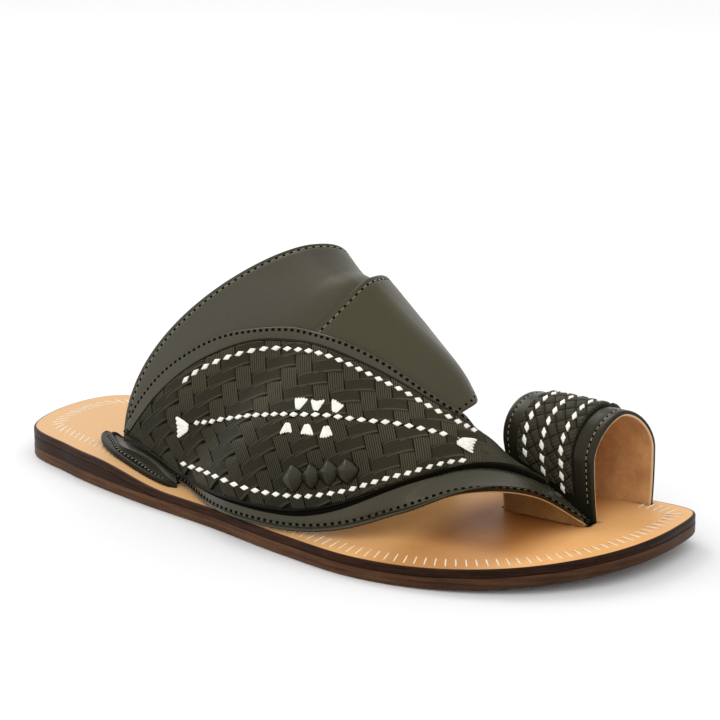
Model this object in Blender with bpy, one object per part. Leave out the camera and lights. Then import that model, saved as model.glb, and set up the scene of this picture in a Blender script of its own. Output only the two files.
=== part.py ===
"""Arabic sandal for the right foot: a layered leather sole, an upper of two instep bands and a leaf
vamp that crosses them, a woven panel, a lateral tab and a ring for the big toe.

Tables and functions work in millimetres: X runs from the back of the heel to the toe, Y to the medial
side, Z up from the floor. MM turns them into metres when a mesh is made, and ORIGIN moves the whole
sandal so that the middle of its box stands on the world's origin.
"""

import math
from collections import namedtuple

import bmesh
import bpy
import numpy as np

MM = 0.001
ORIGIN = (-142.4, -0.65, 0.0)  # from the back of the heel to the middle of the box

# Sole
LENGTH = 285.0
OUTSOLE_THICK = 4.5
INSOLE_THICK = 2.86
LAYER_GAP = 0.3
HEEL_RISE = 4.44  # how much higher the foot stands at the heel than at the ball
HEEL_END = 56.7  # the wedge is level up to here
WAIST = 103.1  # and gone from here on
WEDGE_NOSE = 90.0  # the wedge is cut here, where it is under half a millimetre
TOE_START = 205.0
TOE_SPRING = 5.95  # lift of the sole 80 mm past the start
TOE_RUN = 80.0
SOLE_STATIONS = 40
END_MEETS = 3.0  # the two sides close up at the heel's back and at the toe
EDGE_ROUND = 0.8
FOOT_DEPTH = 2.3  # how far a strap reaches down into the insole
SLOT_PLAY = 0.35

# Leather
LEATHER = 1.8
LAP = 1.0  # how deep a crossing piece is bedded in the one under it
TAIL_LEATHER = 2.0
LIFT_START = 1.7  # place where the vamp starts to climb over the front band
DROP_START = 4.4  # and where it starts to come down to the last again
DROP_RUN = 0.7
PANEL_GAP = 0.35
PANEL_THICK = 1.0
STRIP_RISE = 0.5

Outline = namedtuple("Outline", "x y")
SOLE_OUTLINE = (
    Outline(0.3, 1.2),
    Outline(8.8, -23.9),
    Outline(38.2, -34.8),
    Outline(82.3, -43.3),
    Outline(126.4, -47.8),
    Outline(165.3, -53.6),
    Outline(199.3, -55.5),
    Outline(233.7, -46.5),
    Outline(261.4, -28.1),
    Outline(278.9, -2.9),
    Outline(284.6, 25.9),
    Outline(281.9, 45.5),
    Outline(256.4, 55.3),
    Outline(208.9, 54.9),
    Outline(153.5, 46.2),
    Outline(99.8, 39.4),
    Outline(58.6, 40.4),
    Outline(27.8, 39.4),
    Outline(5.1, 26.0),
)

# One rib of the last in a row, from the instep to the toe slot: its lateral foot, its crown, the run
# of the surface over the crown, how round its hull is and how steeply its lateral wall stands.
Rib = namedtuple("Rib", "lat_x lat_y lat_z top_x top_y top_z run_x run_y hull_lat wall_lat hull_med")
RIBS = (
    Rib(57.5, -19.5, 10.8, 126.4, 14.6, 97.5, -27.0, -46.5, 1.81, 2.05, 2.30),
    Rib(84.3, -26.0, 8.2, 144.6, 9.7, 90.0, -11.4, -43.0, 1.82, 1.82, 2.20),
    Rib(106.6, -32.9, 8.2, 157.7, 8.4, 87.8, 3.5, -37.0, 1.73, 1.31, 2.50),
    Rib(138.2, -45.3, 8.0, 174.2, 7.9, 73.6, 11.9, -31.0, 1.62, 1.64, 2.40),
    Rib(171.6, -43.0, 8.7, 194.4, 9.4, 57.9, 18.3, -24.1, 1.74, 1.65, 1.80),
    Rib(198.6, -28.5, 15.8, 207.0, 8.7, 40.9, 20.0, -16.4, 1.50, 1.57, 2.50),
    Rib(219.6, -14.4, 24.4, 220.0, 11.2, 28.6, 16.2, -7.9, 1.69, 1.25, 1.75),
    Rib(237.0, 3.7, 21.9, 237.7, 15.0, 19.8, 6.0, -4.6, 1.64, 1.00, 2.10),
    Rib(254.0, 15.2, 10.8, 253.5, 15.3, 10.2, 0.8, -1.2, 1.65, 1.00, 2.10),
)
INSTEP_RIBS = 6
Foot = namedtuple("Foot", "x y")
INSTEP_FEET = (
    Foot(118.0, 37.0),
    Foot(130.0, 37.5),
    Foot(142.0, 38.5),
    Foot(162.0, 41.0),
    Foot(184.0, 44.0),
    Foot(205.0, 46.5),
)
TOE_FEET = (
    Foot(213.0, 19.2),
    Foot(227.0, 18.0),
    Foot(241.0, 16.8),
    Foot(253.0, 15.8),
)

# Outlines of the upper's pieces on the last: place along the ribs and angle over them in degrees.
# A band's line also steps back past the crown.
BandEdge = namedtuple("BandEdge", "place from_angle step_back")
REAR_BAND = (
    BandEdge(0.0, 0.0, 0.0),
    BandEdge(1.2, 0.0, 0.0),
    BandEdge(1.6, 10.0, 0.0),
    BandEdge(2.4, 30.0, 0.0),
)
FRONT_BAND = (
    BandEdge(2.0, 30.0, 0.0),
    BandEdge(4.0, 34.0, 0.5),
    BandEdge(4.5, 50.0, 0.8),
)
STEP_BACK_FROM = 82.0
STEP_BACK_TURN = 45.0
LeafRow = namedtuple("LeafRow", "low_place low_angle high_place high_angle")
LEAF = (
    LeafRow(0.10, 0.0, 0.12, 7.0),
    LeafRow(0.70, 0.0, 0.28, 18.0),
    LeafRow(1.30, 0.0, 0.52, 33.0),
    LeafRow(2.00, 0.0, 0.88, 47.0),
    LeafRow(2.70, 0.0, 1.55, 57.0),
    LeafRow(3.30, 0.0, 2.40, 61.2),
    LeafRow(3.90, 0.0, 3.25, 64.5),
    LeafRow(4.50, 0.0, 3.95, 66.1),
    LeafRow(5.10, 0.0, 4.48, 70.0),
    LeafRow(5.70, 0.0, 4.96, 78.0),
    LeafRow(6.40, 0.0, 5.18, 95.0),
    LeafRow(7.10, 0.0, 5.24, 121.0),
    LeafRow(7.90, 0.0, 5.22, 151.0),
    LeafRow(8.00, 180.0, 5.18, 180.0),
)
LEAF_STEPS = 42
LEAF_ACROSS = 14
BAND_STEPS = 8
BAND_ACROSS = 26

# Woven panel, its outline in the same way, and the number of strips each way.
PANEL = (
    LeafRow(0.24, 5.5, 0.26, 6.5),
    LeafRow(0.80, 5.5, 0.45, 14.5),
    LeafRow(1.25, 5.8, 0.62, 24.0),
    LeafRow(1.75, 6.0, 0.90, 38.0),
    LeafRow(2.30, 6.2, 1.32, 49.5),
    LeafRow(2.95, 6.9, 2.00, 56.0),
    LeafRow(3.50, 8.2, 2.75, 58.4),
    LeafRow(4.00, 11.0, 3.45, 61.2),
    LeafRow(4.45, 18.0, 4.10, 64.0),
    LeafRow(4.90, 31.0, 4.70, 69.0),
    LeafRow(5.30, 44.5, 5.25, 80.0),
    LeafRow(5.85, 58.0, 5.85, 92.0),
    LeafRow(6.40, 70.0, 6.45, 94.0),
    LeafRow(6.82, 74.0, 6.86, 82.0),
)
PANEL_COLUMNS = 21
PANEL_STRIPS = 8
STRIP_RAMP = 0.14

# Lateral tab, one fold in a row: top of its wall, bend and outer edge of its flange.
Fold = namedtuple("Fold", "wall_x wall_y wall_up bend_x bend_y out_x out_y lift")
TAB = (
    Fold(46.5, -17.5, 0.0, 46.0, -18.2, 45.0, -19.4, 1.2),
    Fold(49.0, -18.3, 0.2, 48.0, -20.0, 46.3, -22.5, 1.1),
    Fold(55.5, -23.0, 0.6, 55.0, -24.2, 52.5, -28.0, 0.7),
    Fold(64.5, -29.2, 1.8, 64.0, -30.2, 62.5, -33.2, 0.3),
    Fold(75.5, -31.2, 3.2, 75.5, -32.4, 75.0, -36.6, 0.0),
    Fold(86.0, -34.2, 3.6, 86.0, -35.4, 86.0, -38.6, 0.0),
    Fold(95.0, -36.6, 1.4, 95.0, -37.6, 95.5, -39.4, 0.0),
)
TAB_THICK = 1.8

# Ring for the big toe, one rim in a row: its feet, widest and top height, bulge, roundness and lean.
Rim = namedtuple("Rim", "lat_x lat_y med_x med_y widest_z top_z bulge round lean shift")
RING = (
    Rim(219.3, 21.6, 226.0, 53.0, 32.5, 48.6, 1.8, 2.0, -9.9, -0.4),
    Rim(253.7, 21.3, 261.7, 50.0, 32.9, 49.7, 1.6, 1.7, -1.9, 0.0),
)
RING_THICK = 2.0
RING_STEPS = 6
RING_TURN = 30
WEAVE_FROM = 0.17  # the raised band's edges, as shares of the ring's width
WEAVE_TO = 0.79
WEAVE_STARTS = (0.235, 0.125)  # its lateral end clears the vamp's fold, rear and front edge
WEAVE_END = 0.93
WEAVE_GAP = 0.35
WEAVE_THICK = 0.8

# Padded lozenges on the panel: place and angle on the last.
Bead = namedtuple("Bead", "place angle")
BEADS = (Bead(3.53, 21.1), Bead(3.69, 23.5), Bead(3.85, 26.3), Bead(4.01, 29.0))
BEAD_WIDE = 6.2
BEAD_TALL = 11.5
BEAD_HIGH = 3.0
BEAD_SIDES = 16

Paint = namedtuple("Paint", "color roughness")
PAINTS = {
    "outsole": Paint((0.13, 0.055, 0.033), 0.55),
    "wedge": Paint((0.045, 0.018, 0.014), 0.5),
    "insole": Paint((0.62, 0.36, 0.17), 0.5),
    "leather": Paint((0.045, 0.045, 0.033), 0.38),
    "weave": Paint((0.028, 0.028, 0.020), 0.5),
}


def ease(value):
    """A smooth step from 0 to 1."""
    share = np.clip(value, 0.0, 1.0)
    return share * share * (3.0 - 2.0 * share)


def smooth(knots, rows, at):
    """Values of a smooth curve through a table's rows, one row at each knot."""
    knots = np.asarray(knots, float)
    rows = np.asarray(rows, float)
    at = np.clip(np.asarray(at, float), knots[0], knots[-1])
    slopes = np.gradient(rows, knots, axis=0)
    index = np.clip(np.searchsorted(knots, at, side="right") - 1, 0, len(knots) - 2)
    width = (knots[index + 1] - knots[index])[:, None]
    t = (at - knots[index])[:, None] / width
    start = (2 * t**3 - 3 * t**2 + 1) * rows[index] + (t**3 - 2 * t**2 + t) * width * slopes[index]
    end = (3 * t**2 - 2 * t**3) * rows[index + 1] + (t**3 - t**2) * width * slopes[index + 1]
    return start + end


def toe_lift(x):
    return TOE_SPRING * (np.maximum(x - TOE_START, 0.0) / TOE_RUN) ** 2


def heel_lift(x):
    return HEEL_RISE * (1.0 - ease((x - HEEL_END) / (WAIST - HEEL_END)))


def outsole_top(x):
    return OUTSOLE_THICK + toe_lift(x)


def insole_top(x):
    return OUTSOLE_THICK + LAYER_GAP + INSOLE_THICK + toe_lift(x) + heel_lift(x)


def insole_bottom(x):
    return insole_top(x) - INSOLE_THICK


def foot_height(x):
    """Height at which a strap ends inside its slot."""
    return insole_top(x) - FOOT_DEPTH


def closed_outline(count):
    """The sole's outline as a closed smooth curve through its table, from the heel's back."""
    ring = np.array(SOLE_OUTLINE + SOLE_OUTLINE + SOLE_OUTLINE[:1])
    knots = np.concatenate([[0.0], np.cumsum(np.hypot(*np.diff(ring, axis=0).T))])
    turn = knots[len(SOLE_OUTLINE)]
    half = len(SOLE_OUTLINE) // 2
    at = knots[half] + np.arange(count) * turn / count
    return smooth(knots, ring, at)


def sole_sides(stations, inset):
    """Lateral and medial edge points of the sole at given X stations, set in by a margin."""
    edge = closed_outline(720)
    back, toe = int(edge[:, 0].argmin()), int(edge[:, 0].argmax())
    edge = np.roll(edge, -back, axis=0)
    toe = (toe - back) % len(edge)
    first, second = edge[: toe + 1], np.vstack([edge[toe:], edge[:1]])[::-1]
    lateral, medial = (first, second) if first[:, 1].mean() < second[:, 1].mean() else (second, first)
    sides = []
    for side, outward in ((lateral, -1.0), (medial, 1.0)):
        reach = np.clip(stations, side[0, 0], side[-1, 0])
        path = np.column_stack([reach, np.interp(reach, side[:, 0], side[:, 1])])
        along = np.gradient(path, axis=0)
        along /= np.maximum(np.hypot(*along.T), 1e-9)[:, None]
        normal = np.column_stack([-along[:, 1], along[:, 0]]) * outward
        sides.append(path - normal * inset)
    for end in (0, -1):
        if abs(sides[0][end, 1] - sides[1][end, 1]) < END_MEETS:
            sides[0][end] = sides[1][end] = (sides[0][end] + sides[1][end]) / 2.0
    return sides


def material(kind):
    made = bpy.data.materials.new(kind)
    made.use_nodes = True
    shader = made.node_tree.nodes["Principled BSDF"]
    shader.inputs["Base Color"].default_value = (*PAINTS[kind].color, 1.0)
    shader.inputs["Roughness"].default_value = PAINTS[kind].roughness
    made.diffuse_color = (*PAINTS[kind].color, 1.0)
    return made


def add_object(name, points, faces, kind):
    """An object from points in millimetres, with its faces turned outward."""
    mesh = bpy.data.meshes.new(name)
    placed = (np.asarray(points) + ORIGIN) * MM
    mesh.from_pydata(placed.tolist(), [], faces)
    solid = bmesh.new()
    solid.from_mesh(mesh)
    bmesh.ops.remove_doubles(solid, verts=solid.verts, dist=1e-6)
    bmesh.ops.recalc_face_normals(solid, faces=solid.faces)
    if solid.calc_volume(signed=True) < 0.0:
        bmesh.ops.reverse_faces(solid, faces=solid.faces)
    solid.to_mesh(mesh)
    solid.free()
    mesh.shade_smooth()
    mesh.set_sharp_from_angle(angle=math.radians(35))
    made = bpy.data.objects.new(name, mesh)
    made.data.materials.append(material(kind))
    bpy.context.collection.objects.link(made)
    made.parent = bpy.data.objects["sandal"]
    return made


def hide(tool):
    """Keeps a cutter or a joined piece out of the finished model."""
    tool.hide_render = True
    tool.display_type = "WIRE"


def boolean(target, tool, operation):
    hide(tool)
    step = target.modifiers.new(tool.name, "BOOLEAN")
    step.operation = operation
    step.solver = "EXACT"
    step.object = tool


def closed_shell(name, inner, outer, kind):
    """A solid between two grids of the same shape, closed round its four borders."""
    rows, columns = inner.shape[:2]
    points = np.vstack([inner.reshape(-1, 3), outer.reshape(-1, 3)])
    under = np.arange(rows * columns).reshape(rows, columns)
    over = under + rows * columns
    faces = []
    for i in range(rows - 1):
        for j in range(columns - 1):
            faces.append((under[i, j], under[i, j + 1], under[i + 1, j + 1], under[i + 1, j]))
            faces.append((over[i, j], over[i + 1, j], over[i + 1, j + 1], over[i, j + 1]))
    for i in range(rows - 1):
        faces.append((under[i, 0], under[i + 1, 0], over[i + 1, 0], over[i, 0]))
        faces.append((under[i, -1], over[i, -1], over[i + 1, -1], under[i + 1, -1]))
    for j in range(columns - 1):
        faces.append((under[0, j], over[0, j], over[0, j + 1], under[0, j + 1]))
        faces.append((under[-1, j], under[-1, j + 1], over[-1, j + 1], over[-1, j]))
    return add_object(name, points, [tuple(int(v) for v in face) for face in faces], kind)


def sole_layer(name, start, end, levels, kind):
    """A layer of the sole. Each level is a height function of X and the inset of its edge there."""
    turn = (1.0 - np.cos(np.linspace(0.0, math.pi, SOLE_STATIONS + 1))) / 2.0
    stations = start + (end - start) * turn
    points = []
    for height, inset in levels:
        lateral, medial = sole_sides(stations, inset)
        ring = np.vstack([lateral, medial[::-1]])
        points.append(np.column_stack([ring, height(ring[:, 0])]))
    size = len(points[0])
    faces = []
    for level in range(len(levels) - 1):
        low, high = level * size, (level + 1) * size
        for i in range(size):
            j = (i + 1) % size
            faces.append((low + i, low + j, high + j, high + i))
    for base in (0, (len(levels) - 1) * size):
        for i in range(SOLE_STATIONS):
            faces.append((base + i, base + i + 1, base + size - 2 - i, base + size - 1 - i))
    return add_object(name, np.vstack(points), faces, kind)


def rib_values(place, feet):
    """The ribs' values at places along the last, with the medial feet of the instep or of the toe slot."""
    ribs = np.array(RIBS)
    ends = np.array(feet)
    if feet is TOE_FEET:
        ends = np.vstack([np.repeat(ends[:1], len(ribs) - len(ends), axis=0), ends])
    ribs = ribs[: len(ends)]
    return smooth(np.arange(len(ribs)), np.hstack([ribs, ends]), place)


def arch(place, angle, feet):
    """Points of the last's surface. The angle runs from 0 at the lateral foot over 90 at the crown."""
    row = rib_values(place, feet)
    lateral, crown, run = row[:, 0:3], row[:, 3:6], row[:, 6:8]
    medial = np.column_stack([row[:, 11:13], foot_height(row[:, 11])])
    before = angle < math.pi / 2
    hull = np.where(before, row[:, 8], row[:, 10])
    wall = np.where(before, row[:, 9], row[:, 10])
    cosine = np.cos(angle)
    reach = np.abs(cosine) ** (2.0 / hull)
    rise = np.maximum(1.0 - reach**hull, 0.0) ** (1.0 / wall)
    foot = np.where(before[:, None], lateral, medial)
    side = np.sign(cosine)[:, None] * run
    plan = crown[:, :2] + side * reach[:, None] + (foot[:, :2] - crown[:, :2] - side) * reach[:, None] ** 2
    height = foot[:, 2] + (crown[:, 2] - foot[:, 2]) * rise
    return np.column_stack([plan, height])


def lifted(place, angle, lift, feet):
    """Points at a distance outside the last's surface."""
    limit = len(RIBS) - 1 if feet is TOE_FEET else INSTEP_RIBS - 1
    step = 0.002
    inside = np.clip(angle, 0.02, math.pi - 0.02)
    ahead = arch(np.minimum(place + step, limit), inside, feet)
    behind = arch(np.maximum(place - step, 0.0), inside, feet)
    over = arch(place, inside + step, feet) - arch(place, inside - step, feet)
    normal = np.cross(ahead - behind, over)
    normal /= np.linalg.norm(normal, axis=1)[:, None]
    return arch(place, angle, feet) + normal * np.reshape(lift, (-1, 1))


def grid_on_last(place, angle, lift, feet):
    lift = np.broadcast_to(lift, place.shape)
    return lifted(place.ravel(), angle.ravel(), lift.ravel(), feet).reshape(*place.shape, 3)


def band(name, edge, low, high):
    """An instep band from its lateral edge table over the crown to its medial foot."""
    rows = np.array(edge)
    places = np.linspace(rows[0, 0], rows[-1, 0], BAND_STEPS + 1)
    starts = np.radians(np.interp(places, rows[:, 0], rows[:, 1]))
    back = np.interp(places, rows[:, 0], rows[:, 2])[:, None]
    share = np.linspace(0.0, 1.0, BAND_ACROSS + 1)
    angle = starts[:, None] + (math.pi - starts[:, None]) * share
    past_crown = ease((np.degrees(angle) - STEP_BACK_FROM) / STEP_BACK_TURN)
    place = places[:, None] - back * past_crown
    inner = grid_on_last(place, angle, low, INSTEP_FEET)
    outer = grid_on_last(place, angle, high, INSTEP_FEET)
    sunk = places < rows[1, 0] + 0.01 if rows[0, 1] == 0.0 else places < 0.0
    for grid in (inner, outer):
        grid[sunk, 0, 2] = foot_height(grid[sunk, 0, 0])
    return closed_shell(name, inner, outer, "leather")


def leaf_lift(place):
    """Outer side of the vamp: over the rear band, over both bands, and alone over the toes."""
    over_front = ease(place - LIFT_START)
    past_bands = ease((place - DROP_START) / DROP_RUN)
    return 2 * LEATHER + LEATHER * over_front - (3 * LEATHER - TAIL_LEATHER) * past_bands


def leaf_wall(place):
    """Thickness of the vamp, with its bedding in the bands."""
    past_bands = ease((place - DROP_START) / DROP_RUN)
    return LEATHER + LAP + (TAIL_LEATHER - LEATHER - LAP) * past_bands


def outline_grid(table, row, share):
    """Place and angle on the last for rows along an outline table and shares across it."""
    ends = smooth(np.arange(len(table)), table, row)
    low, high = ends[:, None, 0:2], ends[:, None, 2:4]
    both = low + (high - low) * share[..., None]
    return both[..., 0], np.radians(np.clip(both[..., 1], 0.0, 180.0))


def leaf():
    """The leaf vamp, from its tip at the lateral rear to its tail in the toe slot."""
    rows = np.linspace(0.0, len(LEAF) - 1, LEAF_STEPS + 1)
    share = np.repeat(np.linspace(0.0, 1.0, LEAF_ACROSS + 1)[None], len(rows), axis=0)
    place, angle = outline_grid(LEAF, rows, share)
    outer = grid_on_last(place, angle, leaf_lift(place), TOE_FEET)
    inner = grid_on_last(place, angle, leaf_lift(place) - leaf_wall(place), TOE_FEET)
    return closed_shell("leaf_vamp", inner, outer, "leather")


def woven_panel():
    """The basket-weave panel: its crossing strips stand up in steps like a stair."""
    ramp = STRIP_RAMP
    columns = (np.arange(PANEL_COLUMNS)[:, None] + [ramp, 1.0 - ramp]).ravel() / PANEL_COLUMNS
    strips = (np.arange(PANEL_STRIPS)[:, None] + [ramp, 1.0 - ramp]).ravel() / PANEL_STRIPS
    columns[0], columns[-1] = 0.0, 1.0
    strips[0], strips[-1] = 0.0, 1.0
    rows = (len(PANEL) - 1) * columns
    share = np.repeat(strips[None], len(rows), axis=0)
    place, angle = outline_grid(PANEL, rows, share)
    column = np.repeat(np.arange(PANEL_COLUMNS), 2)[:, None]
    strip = np.repeat(np.arange(PANEL_STRIPS), 2)[None]
    raised = ((column + strip) % 2 == 0) * STRIP_RISE
    base = leaf_lift(place) + PANEL_GAP
    inner = grid_on_last(place, angle, base, TOE_FEET)
    outer = grid_on_last(place, angle, base + PANEL_THICK + raised, TOE_FEET)
    return closed_shell("woven_panel", inner, outer, "weave")


def ring_rim(rim, turn):
    """Points of one rim of the toe ring: a leg, a round crown and the other leg."""
    lateral, medial = np.array([rim.lat_x, rim.lat_y]), np.array([rim.med_x, rim.med_y])
    half = np.linalg.norm(medial - lateral) / 2.0
    across = (medial - lateral) / (2.0 * half)
    ahead = np.array([across[1], -across[0]])
    wide = half + rim.bulge
    base = foot_height(lateral[0] + (medial[0] - lateral[0]) * turn)
    leg = 0.27
    climb = np.clip(np.minimum(turn, 1.0 - turn) / leg, 0.0, 1.0)
    round_turn = np.clip((turn - leg) / (1.0 - 2.0 * leg), 0.0, 1.0) * math.pi
    power = 2.0 / rim.round
    side = -np.sign(np.cos(round_turn)) * np.abs(np.cos(round_turn)) ** power
    width = side * np.where(climb < 1.0, wide - rim.bulge * (1.0 - climb) ** 2, wide)
    height = base + (rim.widest_z - base) * climb
    height = height + (rim.top_z - rim.widest_z) * np.sin(round_turn) ** power
    share = np.clip((height - base) / (rim.top_z - base), 0.0, 1.0)
    middle = (lateral + medial) / 2.0
    plan = middle + across * (width + rim.shift * share)[:, None] + ahead * (rim.lean * share)[:, None]
    return np.column_stack([plan, height])


def between_rims(place, turn):
    """Points of the toe ring's outer side between its rear and front rims."""
    rear, front = ring_rim(RING[0], turn), ring_rim(RING[1], turn)
    return rear + (front - rear) * place[:, None]


def ring_surface(places, turns, lift):
    """A grid of points at a distance outside the toe ring."""
    place, turn = places.ravel(), turns.ravel()
    step = 0.002
    inside = np.clip(turn, step, 1.0 - step)
    along = between_rims(place + step, inside) - between_rims(place - step, inside)
    over = between_rims(place, inside + step) - between_rims(place, inside - step)
    normal = np.cross(along, over)
    normal /= np.linalg.norm(normal, axis=1)[:, None]
    points = between_rims(place, turn) + normal * lift
    return points.reshape(*places.shape, 3)


def ring_grid(places, turns, lift):
    return ring_surface(*np.meshgrid(places, turns, indexing="ij"), lift)


def toe_ring():
    places = np.linspace(0.0, 1.0, RING_STEPS + 1)
    turns = np.linspace(0.0, 1.0, RING_TURN + 1)
    inner = ring_grid(places, turns, -RING_THICK)
    outer = ring_grid(places, turns, 0.0)
    for grid in (inner, outer):
        grid[:, (0, -1), 2] = foot_height(grid[:, (0, -1), 0])
    return closed_shell("toe_loop", inner, outer, "leather")


def toe_weave():
    """The raised woven band round the ring."""
    share = np.linspace(0.0, 1.0, RING_STEPS)[:, None]
    starts = WEAVE_STARTS[0] + (WEAVE_STARTS[1] - WEAVE_STARTS[0]) * share
    turn = starts + (WEAVE_END - starts) * np.linspace(0.0, 1.0, RING_TURN - 4)
    place = np.broadcast_to(WEAVE_FROM + (WEAVE_TO - WEAVE_FROM) * share, turn.shape)
    inner = ring_surface(place, turn, WEAVE_GAP)
    outer = ring_surface(place, turn, WEAVE_GAP + WEAVE_THICK)
    return closed_shell("toe_loop_weave", inner, outer, "weave")


def bead(number, spot):
    """A padded lozenge that stands on the panel, its long axis across the row of beads."""
    ends = np.array([spot, BEADS[0], BEADS[-1]])
    place, angle = ends[:, 0], np.radians(ends[:, 1])
    base = leaf_lift(place) + PANEL_GAP + PANEL_THICK + STRIP_RISE + PANEL_GAP
    centre, first, last = lifted(place, angle, base, TOE_FEET)
    normal = lifted(place, angle, base + 1.0, TOE_FEET)[0] - centre
    tall = np.cross(normal, last - first)
    tall /= np.linalg.norm(tall)
    wide = np.cross(tall, normal)
    points, faces = [], []
    rings = ((0.94, 0.0), (1.0, 0.25), (0.72, 0.66), (0.34, 0.92))
    for spread, up in rings:
        for k in range(BEAD_SIDES):
            turn = 2.0 * math.pi * k / BEAD_SIDES
            u = math.copysign(abs(math.cos(turn)) ** 1.35, math.cos(turn))
            v = math.copysign(abs(math.sin(turn)) ** 1.35, math.sin(turn))
            flat = wide * (u * spread * BEAD_WIDE / 2.0) + tall * (v * spread * BEAD_TALL / 2.0)
            points.append(centre + flat + normal * (up * BEAD_HIGH))
    for level in range(len(rings) - 1):
        for k in range(BEAD_SIDES):
            low, high = level * BEAD_SIDES, (level + 1) * BEAD_SIDES
            after = (k + 1) % BEAD_SIDES
            faces.append((low + k, low + after, high + after, high + k))
    points += [centre, centre + normal * BEAD_HIGH]
    top = (len(rings) - 1) * BEAD_SIDES
    for k in range(BEAD_SIDES):
        after = (k + 1) % BEAD_SIDES
        faces.append((after, k, len(points) - 2))
        faces.append((top + k, top + after, len(points) - 1))
    return add_object(f"bead_{number}", points, faces, "weave")


def tab():
    """The crescent tab: a flange on the insole that turns up against the vamp."""
    folds = smooth(np.arange(len(TAB)), TAB, np.linspace(0.0, len(TAB) - 1, 16))
    wall_x, wall_y, wall_up, bend_x, bend_y, out_x, out_y, lift = folds.T
    ground = insole_top(bend_x) + LAYER_GAP + lift
    wall = np.column_stack([wall_x, wall_y, ground + wall_up + TAB_THICK])
    bend = np.column_stack([bend_x, bend_y, ground + TAB_THICK])
    edge = np.column_stack([out_x, out_y, insole_top(out_x) + LAYER_GAP + lift + TAB_THICK])
    middle = (bend + edge) / 2.0
    over = np.stack([wall, bend, middle, edge], axis=1)
    under = over - [0.0, 0.0, TAB_THICK]
    inward = np.column_stack([bend_x - out_x, bend_y - out_y])
    inward /= np.linalg.norm(inward, axis=1)[:, None]
    under[:, 0, :2] = over[:, 0, :2] + inward * TAB_THICK * 0.8
    under[:, 0, 2] = over[:, 0, 2] - 0.3
    return closed_shell("lateral_tab", under, over, "leather")


def slot(name, near, far):
    """A cutter through the insole between two lines in plan, each a list of X, Y points."""
    lines = [np.asarray(near)[:, :2], np.asarray(far)[:, :2]]
    walls = []
    for line in lines:
        low = np.column_stack([line, insole_bottom(line[:, 0]) - 1.0])
        high = np.column_stack([line, insole_top(line[:, 0]) + 3.0])
        walls.append(np.stack([low, high], axis=1))
    return closed_shell(name, walls[0], walls[1], "insole")


def foot_line(places, side, lift, feet):
    angle = np.full(len(places), math.pi if side == "medial" else 0.0)
    return lifted(places, angle, lift, feet)


def stretched(line, extra):
    """A line in plan made longer at both ends."""
    line = np.array(line)[:, :2]
    first, last = line[0] - line[1], line[-1] - line[-2]
    line[0] += first / np.linalg.norm(first) * extra
    line[-1] += last / np.linalg.norm(last) * extra
    return line


def cut_slots(insole):
    """The four slots for the straps: lateral, medial, between the toes, and beside the big toe."""
    rear = np.linspace(0.0, 1.65, 6)
    front = np.linspace(0.0, FRONT_BAND[-1].place - FRONT_BAND[-1].step_back, 9)
    tail = np.linspace(5.15, 8.0, 7)
    across = np.linspace(0.0, 1.0, len(tail))
    inner, outer = -SLOT_PLAY, 2 * LEATHER + SLOT_PLAY
    ring = ring_grid(across, np.array([0.0, 1.0]), SLOT_PLAY)
    ring_in = ring_grid(across, np.array([0.0, 1.0]), -RING_THICK - SLOT_PLAY)
    lines = {
        "slot_lateral": (
            foot_line(rear, "lateral", inner, TOE_FEET),
            foot_line(rear, "lateral", outer, TOE_FEET),
        ),
        "slot_medial": (
            foot_line(front, "medial", inner, INSTEP_FEET),
            foot_line(front, "medial", outer, INSTEP_FEET),
        ),
        "slot_toes": (foot_line(tail, "medial", inner, TOE_FEET), ring_in[:, 0]),
        "slot_big_toe": (ring_in[:, 1], ring[:, 1]),
    }
    lines["slot_toes"][1][0, 0] = lines["slot_toes"][0][0, 0]
    for name, (near, far) in lines.items():
        cutter = slot(name, stretched(near, 2 * SLOT_PLAY), stretched(far, 2 * SLOT_PLAY))
        boolean(insole, cutter, "DIFFERENCE")


def sole():
    """Outsole, heel wedge and insole, stacked with their gaps."""
    soft = 0.3
    end = LENGTH - 0.2
    sole_layer(
        "outsole",
        0.0,
        end,
        (
            (toe_lift, EDGE_ROUND),
            (lambda x: toe_lift(x) + EDGE_ROUND, 0.0),
            (lambda x: outsole_top(x) - soft, 0.0),
            (outsole_top, soft),
        ),
        "outsole",
    )
    sole_layer(
        "heel_wedge",
        0.0,
        WEDGE_NOSE,
        (
            (lambda x: outsole_top(x) + LAYER_GAP, 0.3),
            (lambda x: insole_bottom(x) - LAYER_GAP, 0.3),
        ),
        "wedge",
    )
    insole = sole_layer(
        "insole",
        0.0,
        end,
        (
            (insole_bottom, 0.2),
            (lambda x: insole_top(x) - EDGE_ROUND, 0.2),
            (insole_top, EDGE_ROUND),
        ),
        "insole",
    )
    cut_slots(insole)


def upper():
    """Both bands and the vamp as one hollow wall."""
    rear = band("upper", REAR_BAND, 0.0, LEATHER)
    front = band("front_band", FRONT_BAND, LEATHER - LAP, 2 * LEATHER)
    boolean(rear, front, "UNION")
    boolean(rear, leaf(), "UNION")


def clear_scene():
    for item in list(bpy.data.objects):
        bpy.data.objects.remove(item, do_unlink=True)


def main():
    clear_scene()
    root = bpy.data.objects.new("sandal", None)
    bpy.context.collection.objects.link(root)
    sole()
    upper()
    woven_panel()
    tab()
    toe_ring()
    toe_weave()
    for number, spot in enumerate(BEADS, start=1):
        bead(number, spot)


main()
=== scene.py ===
"""Look of a traditional leather toe-loop sandal for the right foot, built round its CAD frame.

Shapes are worked out in millimetres in the shoe's own frame: X runs from the back of the heel to the
toe, Y to the medial side, Z up from the floor. ORIGIN and MM turn them into the frame's metres.
"""

import logging
import math
from dataclasses import dataclass
from enum import Enum
from typing import Callable, Sequence

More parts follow.
